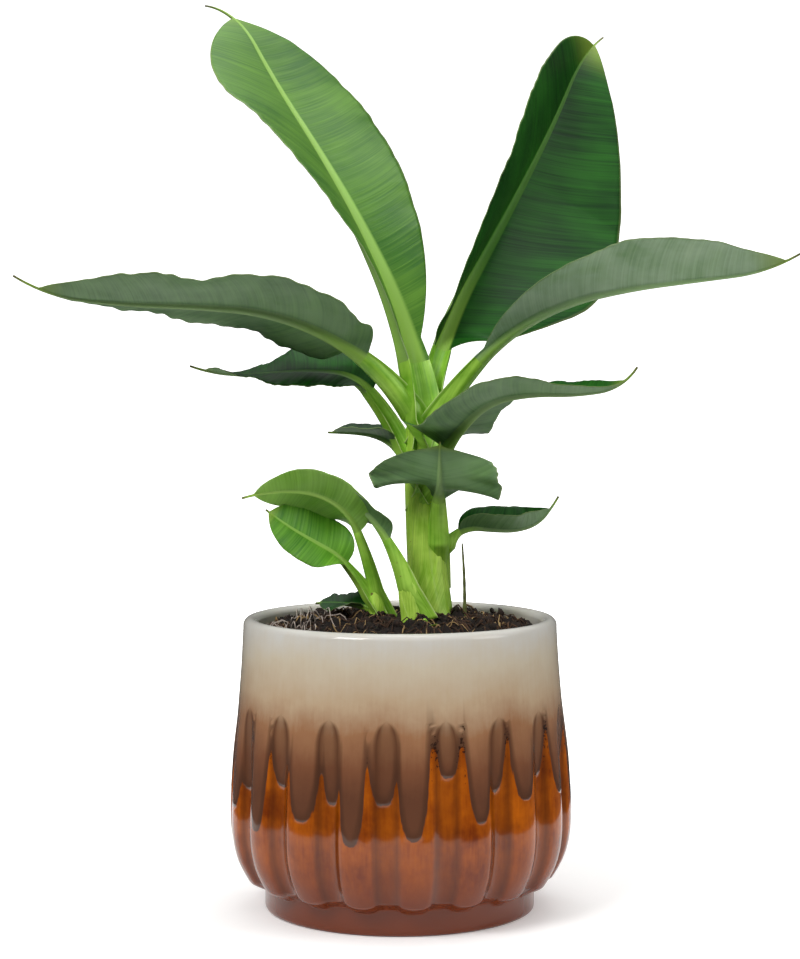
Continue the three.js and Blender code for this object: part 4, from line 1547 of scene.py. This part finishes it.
# ---- the plant ------------------------------------------------------------------------------
@dataclass(frozen=True)
class BananaPlant:
    """The whole object, from its parts and their finishes."""

    leaves: tuple[Leaf, ...] = LEAVES
    ground: Ground = field(default_factory=Ground)
    pot: Pot = field(default_factory=Pot)

    def stems(self) -> tuple[Stem, ...]:
        """The false trunk and the two side shoots, their sheaths taken from the leaves."""
        feet = ((24, 16), (-14, -12), (12, -27))
        low = [float(self.ground.height(np.array(x), np.array(y))) - 8 for x, y in feet]
        faces = {leaf.name: (leaf.heading[0], leaf.base[2]) for leaf in self.leaves}
        order = ("small_right", "front_cup", "low_right", "small_left", "low_left", "right_arm")
        main = tuple(faces[name] for name in (*order, "left_arm"))
        left = (faces["pup_low"], faces["pup_bright"])
        return (
            Stem("main_stem", (*feet[0], low[0]), (15, 13, 401), (16.4, 15.2, 12.6), main, 2),
            Stem("pup_stem_left", (*feet[1], low[1]), (-22, -16, 262), (7.4, 6.6, 5.2), left, 4, 0.5),
            Stem(
                "pup_stem_right", (*feet[2], low[2]), (4, -29, 276), (9, 8.4, 7.4),
                (faces["pup_arch"],), 6, 0.6,
            ),
        )

    def build(self) -> None:
        """Makes every piece."""
        upper = {
            Tone.SUNLIT: LeafFinish(
                "sunlit_blade_upper", "#2f6a0e", "#63962c", "#9ac85c", "#9aca3c", 0.4, 0.1, 0.5,
                shine=0.28,
            ),
            Tone.DEEP: LeafFinish(
                "deep_blade_upper", "#0f3e12", "#2b701e", "#5a9238", "#458c16", 0.4, 0.03, 0.45,
                shine=0.22,
            ),
            # painted light: the deep upper face lightened for the satin light on the right arm
            Tone.SATIN_LIT: LeafFinish(
                "satin_lit_blade_upper", "#14481a", "#347a2c", "#629c3e", "#5fa028", 0.36, 0.12, 0.5
            ),
            Tone.YOUNG: LeafFinish(
                "young_blade_upper", "#4a8c1e", "#8aca44", "#9ccc58", "#98d238", 0.36, 0.15, 0.35
            ),
        }
        under = {
            Tone.SUNLIT: LeafFinish(
                "sunlit_blade_under", "#4f7838", "#7d9f62", "#93b868", "#9fce3a", 0.5, 0.05, 0.5,
                "#93a98a",
            ),
            # partly the underside's own grey bloom, partly painted light: lightened to stand in for
            # light bounced up from the floor
            Tone.DEEP: LeafFinish(
                "bloom_and_bounce_blade_under", "#3f6a34", "#74a058", "#8fb070", "#5fa020", 0.46, 0.08, 0.6,
                "#88a67e",
            ),
            # painted light: the bloomed underside lightened, its bloom most of all, for the satin light
            # on the right arm
            Tone.SATIN_LIT: LeafFinish(
                "satin_lit_blade_under", "#6a9c5a", "#a6cc92", "#acd090", "#86c048", 0.4, 0.12, 0.6,
                "#cce4c6",
            ),
            Tone.YOUNG: LeafFinish(
                "young_blade_under", "#68aa2c", "#a4da56", "#b8e070", "#b0e444", 0.42, 0.08, 0.4,
                "#a8d078",
            ),
        }
        stalk = StalkFinish("juicy_leaf_stalk", "#7ab42c", "#b0e054", "#cfe890", "#6a4a26", 0.0)
        sheath = StalkFinish("leaf_sheath", "#98cc38", "#ccf264", "#dcf0a0", "#5c3d20", 0.06)
        tops = {tone: finish.build() for tone, finish in upper.items()}
        bottoms = {tone: finish.build() for tone, finish in under.items()}
        stalk_made, sheath_made = stalk.build(), sheath.build()
        for leaf in self.leaves:
            leaf.build([tops[leaf.tone], bottoms[leaf.tone], stalk_made])
        for stem in self.stems():
            stem.build(sheath_made)
        self.pot.build(GlazeFinish().build())
        peat = EarthFinish("peat_soil", "#0a0604", "#281a11", 1.6, 1.4).build()
        crumb = EarthFinish("soil_crumb", "#0e0805", "#38261a", 2.2, 0.6).build()
        straw = EarthFinish("dry_straw", "#7a5c38", "#c0a06c", 3.0, 0.2, 0.7).build()
        bark = EarthFinish("dark_fibre", "#1c110a", "#5b3c24", 3.0, 0.2, 0.85).build()
        root = EarthFinish("bleached_root", "#a8978a", "#dccfc6", 4.0, 0.15, 0.7).build()
        husk = EarthFinish("dry_leaf_husk", "#3a3a1c", "#76803f", 6.0, 0.3, 0.7).build()
        ground = self.ground
        ground.soil(peat)
        ground.crumbs(crumb)
        ground.strands("dark_fibres", bark, 420, (8, 34), (0.25, 0.8), (0, 3), 0.25, seed=1)
        ground.strands("straws", straw, 130, (6, 30), (0.3, 0.75), (0, 3.5), 0.12, seed=2)
        ground.strands("fine_roots", root, 28, (8, 26), (0.2, 0.45), (1, 13), 0.3, (-74, -30, 26), 3)
        Peg("dry_spike", (52, 8), 292, (-2, 0), (1.7, 0.7), "dry", 0.8).build(husk, ground)
        Peg("cut_stub", (19, -38), 235, (-3, 2), (6, 4.6), "stem").build(sheath_made, ground)


def main() -> None:
    """Builds the plant and its studio."""
    logging.basicConfig(level=logging.INFO, format="%(name)s: %(message)s")
    BananaPlant().build()
    Studio().build()
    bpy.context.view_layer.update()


if __name__ == "__main__":
    main()
